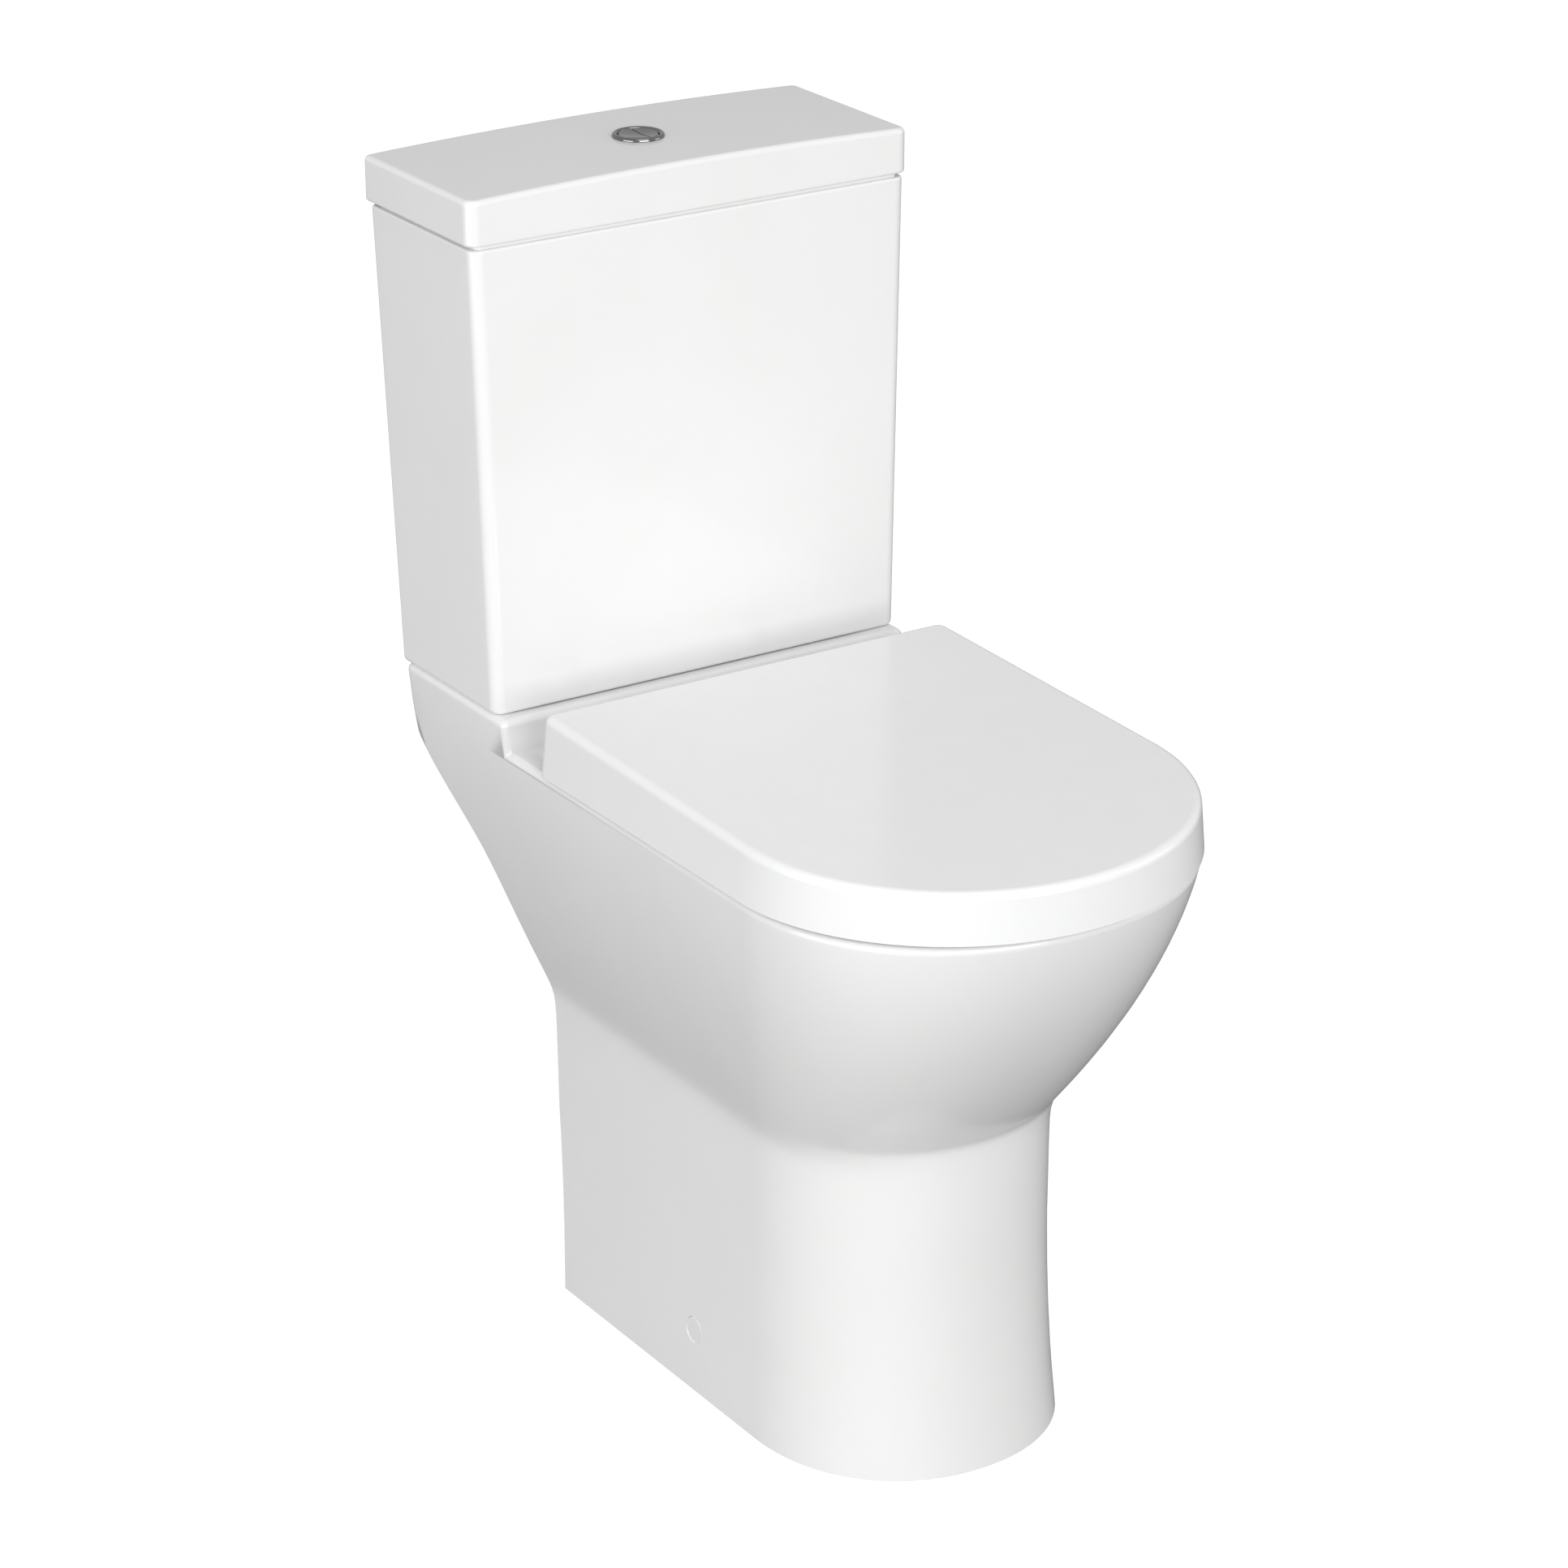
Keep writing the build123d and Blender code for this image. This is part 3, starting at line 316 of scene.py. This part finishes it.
# %% Metals
CHROME = finish_from(
    "bright_chrome", MOULDED_SKIN,
    {"Body Colour": grey(0.28, -0.01), "Shade": 0.9, "Roughness": 0.09, "Grain": 0.02},
    bump_mm=0.006, Metallic=1.0,
)
STEEL = finish_from(
    "zinc_plate", MOULDED_SKIN,
    {"Body Colour": grey(0.5, -0.015), "Shade": 0.75, "Roughness": 0.32, "Grain": 0.3},
    bump_mm=0.02, Metallic=1.0,
)
print("finishes", CHROME.name, STEEL.name)

# %% [markdown]
# ## Rubber
# Seals are black rubber with a coarse, dull skin. The buffers under the seat are a pale clear
# rubber. That could be made with transmission, but at a few millimetres it reads as off-white.

# %% Rubbers
RUBBER = finish_from(
    "black_rubber", MOULDED_SKIN,
    {"Body Colour": grey(0.02), "Shade": 0.7, "Roughness": 0.6, "Grain": 0.8},
    bump_mm=0.06, IOR=1.52,
)
BUFFER_RUBBER = finish_from(
    "clear_rubber", MOULDED_SKIN,
    {"Body Colour": grey(0.62, 0.01), "Shade": 0.9, "Roughness": 0.45, "Grain": 0.3},
    bump_mm=0.04, IOR=1.45,
)
print("finishes", RUBBER.name, BUFFER_RUBBER.name)

# %% [markdown]
# ## Dress the pieces that stay as they are
# Fasteners, valves and seals are right in shape already. They could be modelled again, but that
# would only move them off their fits, so they keep their own meshes and take the finish of the
# material slot that the record gives them.

# %% Dress the frame
FINISH_OF_SLOT = {
    "glazed_ware": GLAZE, "seat_plastic": SEAT_PLASTIC, "white_caps": SEAT_PLASTIC,
    "white_moulding": WHITE_MOULDING, "blue_moulding": BLUE_MOULDING, "grey_moulding": GREY_MOULDING,
    "chrome": CHROME, "steel": STEEL, "rubber": RUBBER, "foam_rubber": RUBBER,
    "buffer_rubber": BUFFER_RUBBER,
}
SLOT_OF = {part["node"]: part["material_slot"] for part in frame["record"]["subparts"]}
for name, node in NODES.items():
    node.data.materials.clear()
    node.data.materials.append(FINISH_OF_SLOT[SLOT_OF[name]])
print("dressed", len(NODES), "nodes")

# %% [markdown]
# ## Surfaces from rings
# Ware is cast in plaster moulds, so each piece is a run of level outlines that change slowly
# from one to the next. `skin_from_rings` joins such outlines into one closed skin: rings run
# round the piece, levels run along its section, and the last level meets the first. A weighted
# normal keeps the wide flats flat where they meet a small rounded edge. A bevelled box would be
# quicker, but one bevel gives all its edges the same radius.

# %% Skin from rings
WALL_Y = CAD_BOX[1][1]
MM = 0.001
SHARP_TURN = math.radians(40)


def back(distance):
    """Y of a distance from the wall in millimetres."""
    return WALL_Y - distance * MM


def skin_from_rings(name, rings):
    """Closed skin over an array of rings, shaped (levels, points, 3), in metres.

    Point (i, j) joins (i, j + 1), (i + 1, j + 1) and (i + 1, j), both counted round and round.
    """
    rings = np.asarray(rings, float)
    levels, count = rings.shape[:2]
    here = np.arange(levels * count).reshape(levels, count)
    along = np.roll(here, -1, axis=1)
    quads = np.stack([here, along, np.roll(along, -1, axis=0), np.roll(here, -1, axis=0)], axis=-1)
    mesh = bpy.data.meshes.new(name)
    mesh.from_pydata(rings.reshape(-1, 3).tolist(), [], quads.reshape(-1, 4).tolist())
    mesh.polygons.foreach_set("use_smooth", np.ones(len(mesh.polygons), bool))
    mesh.set_sharp_from_angle(angle=SHARP_TURN)
    mesh.update()
    piece = bpy.data.objects.new(name, mesh)
    bpy.context.scene.collection.objects.link(piece)
    even = piece.modifiers.new("even_gloss", "WEIGHTED_NORMAL")
    even.keep_sharp = True
    return piece


print("the wall is at y", round(WALL_Y, 4))

# %% [markdown]
# ## Outlines for the rings
# The cistern and its lid are rounded rectangles seen from above, with larger corners in front
# than behind. All outlines have the same number of points, so that any two can be joined.

# %% Outlines
FRONT_CORNER_R, REAR_CORNER_R = 9.0, 5.0
LEAST_FRONT_R, LEAST_REAR_R = 4.0, 3.0


def slab_outline(half_width, front, rear, front_r, rear_r, arc=9, long_side=36, short_side=14):
    """Plan of a rounded rectangle in millimetres, counter-clockwise from above.

    Four quarter circles, each centre + radius * (cos, sin), joined by evenly spaced straights.
    """
    y_front, y_rear = back(front) / MM, back(rear) / MM
    corners = (
        (half_width - rear_r, y_rear - rear_r, rear_r, 0.0),
        (-half_width + rear_r, y_rear - rear_r, rear_r, 0.5 * np.pi),
        (-half_width + front_r, y_front + front_r, front_r, np.pi),
        (half_width - front_r, y_front + front_r, front_r, 1.5 * np.pi),
    )
    turn = np.linspace(0, 0.5 * np.pi, arc)
    arcs = [
        np.column_stack([x + r * np.cos(start + turn), y + r * np.sin(start + turn)])
        for x, y, r, start in corners
    ]
    parts = []
    for n, points in enumerate(arcs):
        after = arcs[(n + 1) % 4][0]
        count = long_side if n % 2 == 0 else short_side
        share = np.linspace(0, 1, count + 2)[1:-1, None]
        parts += [points, points[-1] * (1 - share) + after * share]
    return np.vstack(parts)


def corners_in(inset):
    """Front and rear corner radius of an outline that lies inside the outer one."""
    return max(FRONT_CORNER_R - inset, LEAST_FRONT_R), max(REAR_CORNER_R - inset, LEAST_REAR_R)


def hole_outline(outline, centre, radius):
    """A circle whose points lie on the straight lines from its centre to an outline's points."""
    offset = outline - np.asarray(centre)
    return np.asarray(centre) + radius * offset / np.linalg.norm(offset, axis=1, keepdims=True)


def at_height(outline, height):
    """An outline in millimetres lifted to a height, a number or one for each point, in metres."""
    return np.column_stack([outline, np.broadcast_to(height, len(outline))]) * MM


def roll(radius, steps=6):
    """(inset, drop) pairs over a quarter circle: from a flat top out and over to an upright side."""
    turn = np.linspace(0, 0.5 * np.pi, steps)
    return np.column_stack([radius * (1 - np.sin(turn)), radius * (1 - np.cos(turn))])


VALVE = (0.0, back(76.0) / MM)
print("points in an outline", len(slab_outline(180.0, 150.0, 5.0, *corners_in(0.0))))

# %% [markdown]
# ## The cistern
# The cistern is a cast box, 9 mm thick, that widens a little towards the top so that it leaves
# its mould. Glaze pulls back from corners and rounds them: about 9 mm at the front uprights,
# 4 mm round the foot and 2 mm at the rim. The rings start at the flush outlet, run out under
# the foot, up the outside, over the rim and down the inside to the outlet again. The holes for
# the bolts and the inlet lie under their seals, so this skin leaves them out.

# %% Cistern body
CISTERN_FOOT_Z, CISTERN_FLOOR_Z, CISTERN_RIM_Z = 485.7, 495.7, 831.0
CISTERN_THICK = 9.0
CISTERN_AT_FOOT = np.array([173.0, 155.0, 16.5])  # half-width, then front and rear from the wall
CISTERN_FOOT_TO_RIM = np.array([8.0, -3.0, -12.0])
CISTERN_FOOT_ROLL, CISTERN_RIM_ROLL, INNER_RIM_ROLL, INNER_FOOT_ROLL = 4.0, 2.0, 1.5, 3.0
OUTLET_HOLE_R = 33.0


def cistern_ring(height, inset):
    """The cistern's outline at a height: half-width, front and rear change evenly on the way up."""
    rise = (height - CISTERN_FOOT_Z) / (CISTERN_RIM_Z - CISTERN_FOOT_Z)
    half_width, front, rear = CISTERN_AT_FOOT + rise * CISTERN_FOOT_TO_RIM
    outline = slab_outline(half_width - inset, front - inset, rear + inset, *corners_in(inset))
    return at_height(outline, height)


def cistern_rings():
    """Levels in order: underside, foot edge, outside, rim, inside, floor."""
    foot_z, rim_z, floor_z = CISTERN_FOOT_Z, CISTERN_RIM_Z, CISTERN_FLOOR_Z
    outlet = hole_outline(cistern_ring(foot_z, CISTERN_FOOT_ROLL)[:, :2] / MM, VALVE, OUTLET_HOLE_R)
    foot = [cistern_ring(foot_z + drop, inset) for inset, drop in roll(CISTERN_FOOT_ROLL)]
    side_z = np.linspace(foot_z + CISTERN_FOOT_ROLL, rim_z - CISTERN_RIM_ROLL, 12)[1:-1]
    sides = [cistern_ring(z, 0.0) for z in side_z]
    rim_out = [cistern_ring(rim_z - drop, inset) for inset, drop in roll(CISTERN_RIM_ROLL)[::-1]]
    rim_in = [cistern_ring(rim_z - drop, CISTERN_THICK - inset) for inset, drop in roll(INNER_RIM_ROLL)]
    inside = [cistern_ring(z, CISTERN_THICK) for z in np.linspace(rim_z - 4, floor_z + INNER_FOOT_ROLL, 8)]
    floor_edge = [
        cistern_ring(floor_z + drop, CISTERN_THICK + inset) for inset, drop in roll(INNER_FOOT_ROLL)[::-1]
    ]
    return [
        at_height(outlet, CISTERN_FOOT_Z), *foot, *sides, *rim_out, *rim_in, *inside, *floor_edge,
        at_height(outlet, CISTERN_FLOOR_Z),
    ]


cistern_body = skin_from_rings("cistern_glaze", cistern_rings())
cistern_body.data.materials.append(GLAZE)
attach(cistern_body, "ware")
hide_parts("cistern_body")
print("cistern", len(cistern_body.data.polygons), "faces")

# %% [markdown]
# ## The cistern lid
# The lid is a thin casting that overhangs the cistern by two millimetres all round. Its top is
# crowned by 4 mm across the width, so that water runs off, and its edge is rolled. Underneath
# there is a narrow rim that sits on the cistern and a lip that keeps the lid from sliding. The
# rings run from the roof inside, round the edge and in over the top to the button's hole, and
# the crown is a height worked out from x, so every ring on the top takes part in it.

# %% Cistern lid
LID_HALF, LID_FRONT, LID_SIDE_Z, LID_CROWN_Z = 183.2, 152.0, 866.7, 870.6
LID_UNDER_Z, LID_ROOF_Z, LID_LIP_Z = 833.7, 856.0, 822.0
LID_TOP_ROLL, LID_UNDER_ROLL = 4.0, 2.0
BUTTON_HOLE_R = 17.0
# half-width, front, rear, front corner and rear corner of the plans under the lid
REST_PLAN = (176.0, 148.0, 8.5, 5.0, 5.0)
LIP_OUTER_PLAN = (168.5, 140.0, 16.5, 4.0, 4.0)
LIP_INNER_PLAN = (163.0, 134.5, 22.0, 4.0, 4.0)


def crown_height(outline):
    """Height of the lid's top: a shallow arc that falls away with the square of the offset in x."""
    return LID_CROWN_Z - (LID_CROWN_Z - LID_SIDE_Z) * (outline[:, 0] / LID_HALF) ** 2


def lid_outline(inset):
    return slab_outline(LID_HALF - inset, LID_FRONT - inset, inset, *corners_in(inset))


def lid_rings():
    """Levels in order, inside first: roof, lip, rest, underside, side, rolled edge, crowned top, hole."""
    top_edge = lid_outline(LID_TOP_ROLL)
    hole = hole_outline(top_edge, VALVE, BUTTON_HOLE_R)
    top = []
    for share in np.linspace(0, 1, 10)[:-1]:
        outline = hole * (1 - share) + top_edge * share
        top.append(at_height(outline, crown_height(outline)))
    edge = [
        at_height(lid_outline(inset), crown_height(lid_outline(inset)) - drop)
        for inset, drop in roll(LID_TOP_ROLL, 8)
    ]
    sides = [at_height(lid_outline(0.0), z) for z in (856.0, 849.0, 842.0)]
    under = [at_height(lid_outline(inset), LID_UNDER_Z + drop) for inset, drop in roll(LID_UNDER_ROLL)[::-1]]
    rest, lip_outer, lip_inner = (slab_outline(*plan) for plan in (REST_PLAN, LIP_OUTER_PLAN, LIP_INNER_PLAN))
    below = [
        at_height(rest, LID_UNDER_Z), at_height(rest, CISTERN_RIM_Z), at_height(lip_outer, CISTERN_RIM_Z),
        at_height(lip_outer, LID_LIP_Z), at_height(lip_inner, LID_LIP_Z), at_height(lip_inner, LID_ROOF_Z),
        at_height(hole, LID_ROOF_Z),
    ]
    return [*top, *edge, *sides, *under, *below][::-1]


cistern_lid = skin_from_rings("cistern_lid_glaze", lid_rings())
cistern_lid.data.materials.append(GLAZE)
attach(cistern_lid, "ware")
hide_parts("cistern_lid")
print("cistern lid", len(cistern_lid.data.polygons), "faces")

# %% [markdown]
# ## The bezel of the push button
# The bezel is turned brass under chrome. Its flange is a smooth half-round roll, which is what
# catches a dark line and a bright line from the room, and its shank drops through the lid. A
# screw modifier could turn the profile, but one array of radius and height is simpler to check.

# %% Button bezel
FLANGE_R, FLANGE_Z, FLANGE_ROLL = 17.1, 871.1, 2.1


def bezel_rings(points=96):
    """A profile of (radius, height) pairs turned once round the valve's upright axis."""
    lap = np.linspace(0, np.pi, 15)
    flange = np.column_stack([FLANGE_R + FLANGE_ROLL * np.cos(lap), FLANGE_Z + FLANGE_ROLL * np.sin(lap)])
    bore = np.array([(15.0, 870.8), (15.0, 858.0), (15.0, 840.0), (15.0, 826.4)])
    shank = np.array(
        [(15.4, 826.0), (16.2, 826.0), (16.6, 826.4), (16.6, 856.0), (16.6, 870.6), (18.6, 870.6)]
    )
    profile = np.vstack([flange, bore, shank])
    turn = np.linspace(0, 2 * np.pi, points, endpoint=False)
    x = VALVE[0] + profile[:, :1] * np.cos(turn)
    y = VALVE[1] + profile[:, :1] * np.sin(turn)
    z = np.broadcast_to(profile[:, 1:], x.shape)
    return np.stack([x, y, z], axis=-1) * MM


bezel = skin_from_rings("bezel_chrome", bezel_rings())
bezel.data.materials.append(CHROME)
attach(bezel, "ware")
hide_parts("button_bezel")
print("bezel", len(bezel.data.polygons), "faces")

# %% [markdown]
# ## The pan's outside as a formula
# The pan is one casting: a straight-sided foot with a rounded front that swells into the bowl.
# Every level cut through it is a D, two straight sides and a nose. So three sizes that change
# with height, the half-width, the shoulder where the nose starts and the tip, give it all.

# %% Sizes of the pan by height
DECK_Z = 485.7
FLARE_TOP_Z = 170.0
CREASE_SOFTNESS = 1.6
WIDTH_TERMS = {"foot": 110.9, "flare": 5.8, "rim": 173.2, "crease": 243.0, "power": 1.54}
TIP_TERMS = {"foot": 522.0, "flare": 10.0, "rim": 642.0, "crease": 256.0, "power": 1.65}
SHOULDER_AT_FOOT, SHOULDER_SHARE = 402.0, 1.3


def swell(height, foot, flare, rim, crease, power):
    """Size at a height: a foot that flares near the floor, and a bowl that follows a power of
    the depth below the deck, joined by a soft maximum of the two."""
    low = foot + flare * np.maximum(0.0, 1 - height / FLARE_TOP_Z) ** 2
    bowl = rim - (rim - foot) * np.maximum(0.0, (DECK_Z - height) / (DECK_Z - crease)) ** power
    return (low + bowl) / 2 + np.sqrt(((low - bowl) / 2) ** 2 + CREASE_SOFTNESS**2)


def pan_size(height):
    """Half-width, shoulder and tip of the pan at a height, in millimetres."""
    half_width = swell(height, **WIDTH_TERMS)
    shoulder = SHOULDER_AT_FOOT + SHOULDER_SHARE * (half_width - WIDTH_TERMS["foot"])
    return half_width, shoulder, swell(height, **TIP_TERMS)


print("pan at the rim", [round(float(size), 1) for size in pan_size(np.float64(455.0))])

# %% [markdown]
# ## Points and normals of the skin
# `skin_point` turns a parameter round the pan and a height into a point, and `nearest_u` goes
# the other way. The normal comes from two small steps on the surface, one each way, because
# the cross product of the steps stands at right angles to both.

# %% Skin of the pan
NOSE_FULLNESS = 0.59
STRAIGHT_REACH = 400.0
SMALL_U, SMALL_HEIGHT = 1e-4, 0.05


def nose(u):
    """Quarter of the nose for u from 0 at the side to 1 at the tip: share of the half-width and
    share of the reach beyond the shoulder, on a cubic curve of the stated fullness."""
    k = NOSE_FULLNESS
    across = (1 - u) ** 3 + 3 * u * (1 - u) ** 2 + 3 * u**2 * (1 - u) * k
    along = 3 * u * (1 - u) ** 2 * k + 3 * u**2 * (1 - u) + u**3
    return across, along


def skin_point(u, height):
    """Point of the skin for u: below zero on the straight side, above zero round the nose."""
    half_width, shoulder, tip = pan_size(height)
    across, along = nose(np.clip(u, 0, 1))
    distance = np.where(u < 0, shoulder + u * STRAIGHT_REACH, shoulder + (tip - shoulder) * along)
    return np.stack([half_width * across, WALL_Y / MM - distance, height], axis=-1)


def nearest_u(points):
    """Parameter of each point, from its direction within the nose's quarter."""
    half_width, shoulder, tip = pan_size(points[:, 2])
    ahead = WALL_Y / MM - points[:, 1] - shoulder
    table = np.linspace(0, 1, 2001)
    across, along = nose(table)
    angles = np.arctan2(along, across)
    wanted = np.arctan2(np.maximum(ahead, 0) / (tip - shoulder), np.abs(points[:, 0]) / half_width)
    return np.where(ahead < 0, ahead / STRAIGHT_REACH, np.interp(wanted, angles, table))


def skin_normal(u, height, side):
    """Outward unit normal, from the cross product of small steps in u and in height."""
    step_u = skin_point(u + SMALL_U, height) - skin_point(u - SMALL_U, height)
    step_h = skin_point(u, height + SMALL_HEIGHT) - skin_point(u, height - SMALL_HEIGHT)
    normal = np.cross(step_h, step_u)
    normal *= np.sign(normal[:, :1] + 1e-12)
    normal[:, 0] *= side
    return normal / np.linalg.norm(normal, axis=1, keepdims=True)


print("tip of the rim at y", round(float(skin_point(np.float64(1.0), np.float64(455.0))[1]), 1), "mm")

# %% [markdown]
# ## The pan's glaze
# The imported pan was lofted, and a loft leaves faint waves that gloss shows up. It could be
# replaced by a new skin, but its rim, bowl, deck and hollow are right as they are. So a copy of
# it, with its doubled points merged first, has only its outer points set on the formula.

# %% Outer points of the pan
MERGE_DISTANCE = 2e-5
HARD_TURN = math.radians(32)
SKIN_TOLERANCE = 1.2
REAR_EDGE, STEP_EDGE = 30.0, 160.9       # distances from the wall where rounded edges begin
RIM_EDGE_Z, DECK_EDGE_Z = 455.9, 480.6   # heights where the rounded upper edges begin


def glazed_copy(node, name):
    """A copy of a node's mesh with its doubled points merged and its hard edges marked."""
    mesh = NODES[node].data.copy()
    mesh.name = name
    work = bmesh.new()
    work.from_mesh(mesh)
    bmesh.ops.remove_doubles(work, verts=work.verts, dist=MERGE_DISTANCE)
    work.to_mesh(mesh)
    work.free()
    mesh.polygons.foreach_set("use_smooth", np.ones(len(mesh.polygons), bool))
    mesh.set_sharp_from_angle(angle=HARD_TURN)
    piece = bpy.data.objects.new(name, mesh)
    bpy.context.scene.collection.objects.link(piece)
    return piece


pan = glazed_copy("pan", "pan_glaze")
points = np.empty(len(pan.data.vertices) * 3)
pan.data.vertices.foreach_get("co", points)
points = points.reshape(-1, 3) / MM
u = nearest_u(points)
on_shape = skin_point(u, points[:, 2])
on_shape[:, 0] *= np.sign(points[:, 0])
gap = np.linalg.norm(on_shape - points, axis=1)
depth = WALL_Y / MM - points[:, 1]
upper_edge = np.where(depth > STEP_EDGE, RIM_EDGE_Z, DECK_EDGE_Z)
outer = (gap < SKIN_TOLERANCE) & (points[:, 2] < upper_edge) & (depth > REAR_EDGE)
points[outer] = on_shape[outer]
pan.data.vertices.foreach_set("co", (points * MM).ravel())
pan.data.update()
print("pan points on the shape", int(outer.sum()), "largest move mm", round(float(gap[outer].max()), 3))

# %% [markdown]
# ## Normals of the pan's glaze
# The copy's triangles are long and thin, and a normal averaged over them wavers. Where all the
# corners of a face lie on the skin, each corner takes the formula's own normal instead.

# %% Normals of the pan
FLOOR_FACE_Z = 0.01  # a face with no corner above this height stands on the floor
loops = len(pan.data.loops)
corner = np.empty(loops, np.int32)
pan.data.loops.foreach_get("vertex_index", corner)
normals = np.empty(loops * 3, np.float32)
pan.data.corner_normals.foreach_get("vector", normals)
normals = normals.reshape(-1, 3)
side = np.where(points[:, 0] < 0, -1.0, 1.0)
exact = skin_normal(u, points[:, 2], side)[corner]
starts = np.empty(len(pan.data.polygons), np.int32)
pan.data.polygons.foreach_get("loop_start", starts)
whole = np.logical_and.reduceat(outer[corner], starts)
floor_face = np.maximum.reduceat(points[corner, 2], starts) < FLOOR_FACE_Z
in_face = np.repeat(whole & ~floor_face, np.diff(np.append(starts, loops)))
normals[in_face] = exact[in_face]
pan.data.normals_split_custom_set(normals.tolist())
pan.data.materials.clear()
pan.data.materials.append(GLAZE)
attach(pan, "ware")
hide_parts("pan")
print("corners with the formula's normal", int(in_face.sum()), "of", loops)

# %% [markdown]
# ## Studio floor
# The floor is a wide sheet of pale paper. It is lit like paper, but where the camera sees it a
# little glow lifts it to white, as a catalogue's cut-out background is. A very bright lamp on
# the paper would do the same and would also flood the underside of the bowl.

# %% Studio floor
FLOOR_REACH, FLOOR_LEVEL = 14.0, -0.0005
PAPER_GREY, PAPER_LIFT = 0.24, 0.92


def sheet(name, reach, level):
    """A square that faces up, with its middle at the origin."""
    mesh = bpy.data.meshes.new(name)
    corners = [(-reach, -reach, level), (reach, -reach, level), (reach, reach, level), (-reach, reach, level)]
    mesh.from_pydata(corners, [], [(0, 1, 2, 3)])
    mesh.update()
    piece = bpy.data.objects.new(name, mesh)
    bpy.context.scene.collection.objects.link(piece)
    return piece


def floor_finish():
    """Pale paper: diffuse grey for the light it throws back, lifted to white where it is seen."""
    material = bpy.data.materials.new("studio_paper")
    material.use_nodes = True
    tree = material.node_tree
    tree.nodes.clear()
    out = put(tree, "ShaderNodeOutputMaterial")
    paper = put(tree, "ShaderNodeBsdfDiffuse")
    paper.inputs["Color"].default_value = grey(PAPER_GREY)
    lift = put(tree, "ShaderNodeEmission")
    lift.inputs["Strength"].default_value = PAPER_LIFT
    seen = put(tree, "ShaderNodeLightPath")
    both = put(tree, "ShaderNodeAddShader")
    pick = put(tree, "ShaderNodeMixShader")
    link(tree, paper.outputs[0], both.inputs[0])
    link(tree, lift.outputs[0], both.inputs[1])
    link(tree, seen.outputs["Is Camera Ray"], pick.inputs["Fac"])
    link(tree, paper.outputs[0], pick.inputs[1])
    link(tree, both.outputs[0], pick.inputs[2])
    link(tree, pick.outputs[0], out.inputs["Surface"])
    return material


floor = sheet("studio_floor", FLOOR_REACH, FLOOR_LEVEL)
floor.data.materials.append(floor_finish())
print("floor", 2 * FLOOR_REACH, "m wide")

# %% [markdown]
# ## Soft boxes
# White ware shows its form only by small changes of grey, so the lights are few, large and
# uneven. The key stands in front and gives the front of the cistern its brightness; the boxes
# at the sides and above are weaker. A single bare lamp would draw hard edges in the glaze.

# %% Soft boxes
MIDDLE = (0.0, 0.0, 0.45)


def soft_box(name, place, aim, width, height, watts):
    """A rectangular area light that looks from its place to its aim."""
    light = bpy.data.lights.new(name, "AREA")
    light.shape = "RECTANGLE"
    light.size = width
    light.size_y = height
    light.energy = watts
    lamp = bpy.data.objects.new(name, light)
    lamp.location = place
    lamp.rotation_euler = (Vector(aim) - Vector(place)).to_track_quat("-Z", "Y").to_euler()
    bpy.context.scene.collection.objects.link(lamp)
    return lamp


soft_box("key_front", (-0.35, -3.0, 1.35), MIDDLE, 2.4, 1.8, 54)
soft_box("side_left", (-2.7, -0.45, 0.6), MIDDLE, 2.2, 1.6, 42)
soft_box("side_right", (2.5, -1.2, 1.5), MIDDLE, 1.4, 1.6, 7)
soft_box("overhead", (0.0, -0.9, 3.0), MIDDLE, 1.6, 1.2, 10)
print("lights", len(bpy.data.lights))

# %% [markdown]
# ## The white room
# The sky stands for white walls. It gives the ware an even half light from all sides, while
# the camera sees it as plain white, so that the backdrop needs no wall.

# %% White room
ROOM_GLOW, SEEN_GLOW = 0.52, 1.0
world = bpy.data.worlds.new("white_room")
bpy.context.scene.world = world
world.use_nodes = True
sky = world.node_tree
sky.nodes.clear()
sky_out = put(sky, "ShaderNodeOutputWorld")
room = put(sky, "ShaderNodeBackground")
seen_sky = put(sky, "ShaderNodeBackground")
for shade, glow in ((room, ROOM_GLOW), (seen_sky, SEEN_GLOW)):
    shade.inputs["Color"].default_value = grey(1.0)
    shade.inputs["Strength"].default_value = glow
ray = put(sky, "ShaderNodeLightPath")
choose = put(sky, "ShaderNodeMixShader")
link(sky, ray.outputs["Is Camera Ray"], choose.inputs["Fac"])
link(sky, room.outputs[0], choose.inputs[1])
link(sky, seen_sky.outputs[0], choose.inputs[2])
link(sky, choose.outputs[0], sky_out.inputs["Surface"])
bpy.context.scene.view_settings.view_transform = "Standard"
bpy.context.scene.view_settings.look = "None"
print("room glow", ROOM_GLOW)

# %% [markdown]
# ## Camera
# A long lens from the front left, a little above the seat, as a catalogue shows such a piece.
# A short lens close up would make the cistern's upright edges lean.

# %% Camera
AZIMUTH = math.radians(-33.0)
ELEVATION = math.radians(22.65)
DISTANCE = 3.4794
AIM = Vector((-0.0002, 0.0548, 0.4347))
eye = bpy.data.cameras.new("catalogue")
eye.sensor_width = 36.0
eye.lens = 110.93
camera = bpy.data.objects.new("catalogue", eye)
camera.location = AIM + DISTANCE * Vector(
    (math.sin(AZIMUTH) * math.cos(ELEVATION), -math.cos(AZIMUTH) * math.cos(ELEVATION), math.sin(ELEVATION))
)
camera.rotation_euler = (AIM - camera.location).to_track_quat("-Z", "Y").to_euler()
bpy.context.scene.collection.objects.link(camera)
bpy.context.scene.camera = camera
print("camera at", [round(place, 3) for place in camera.location])
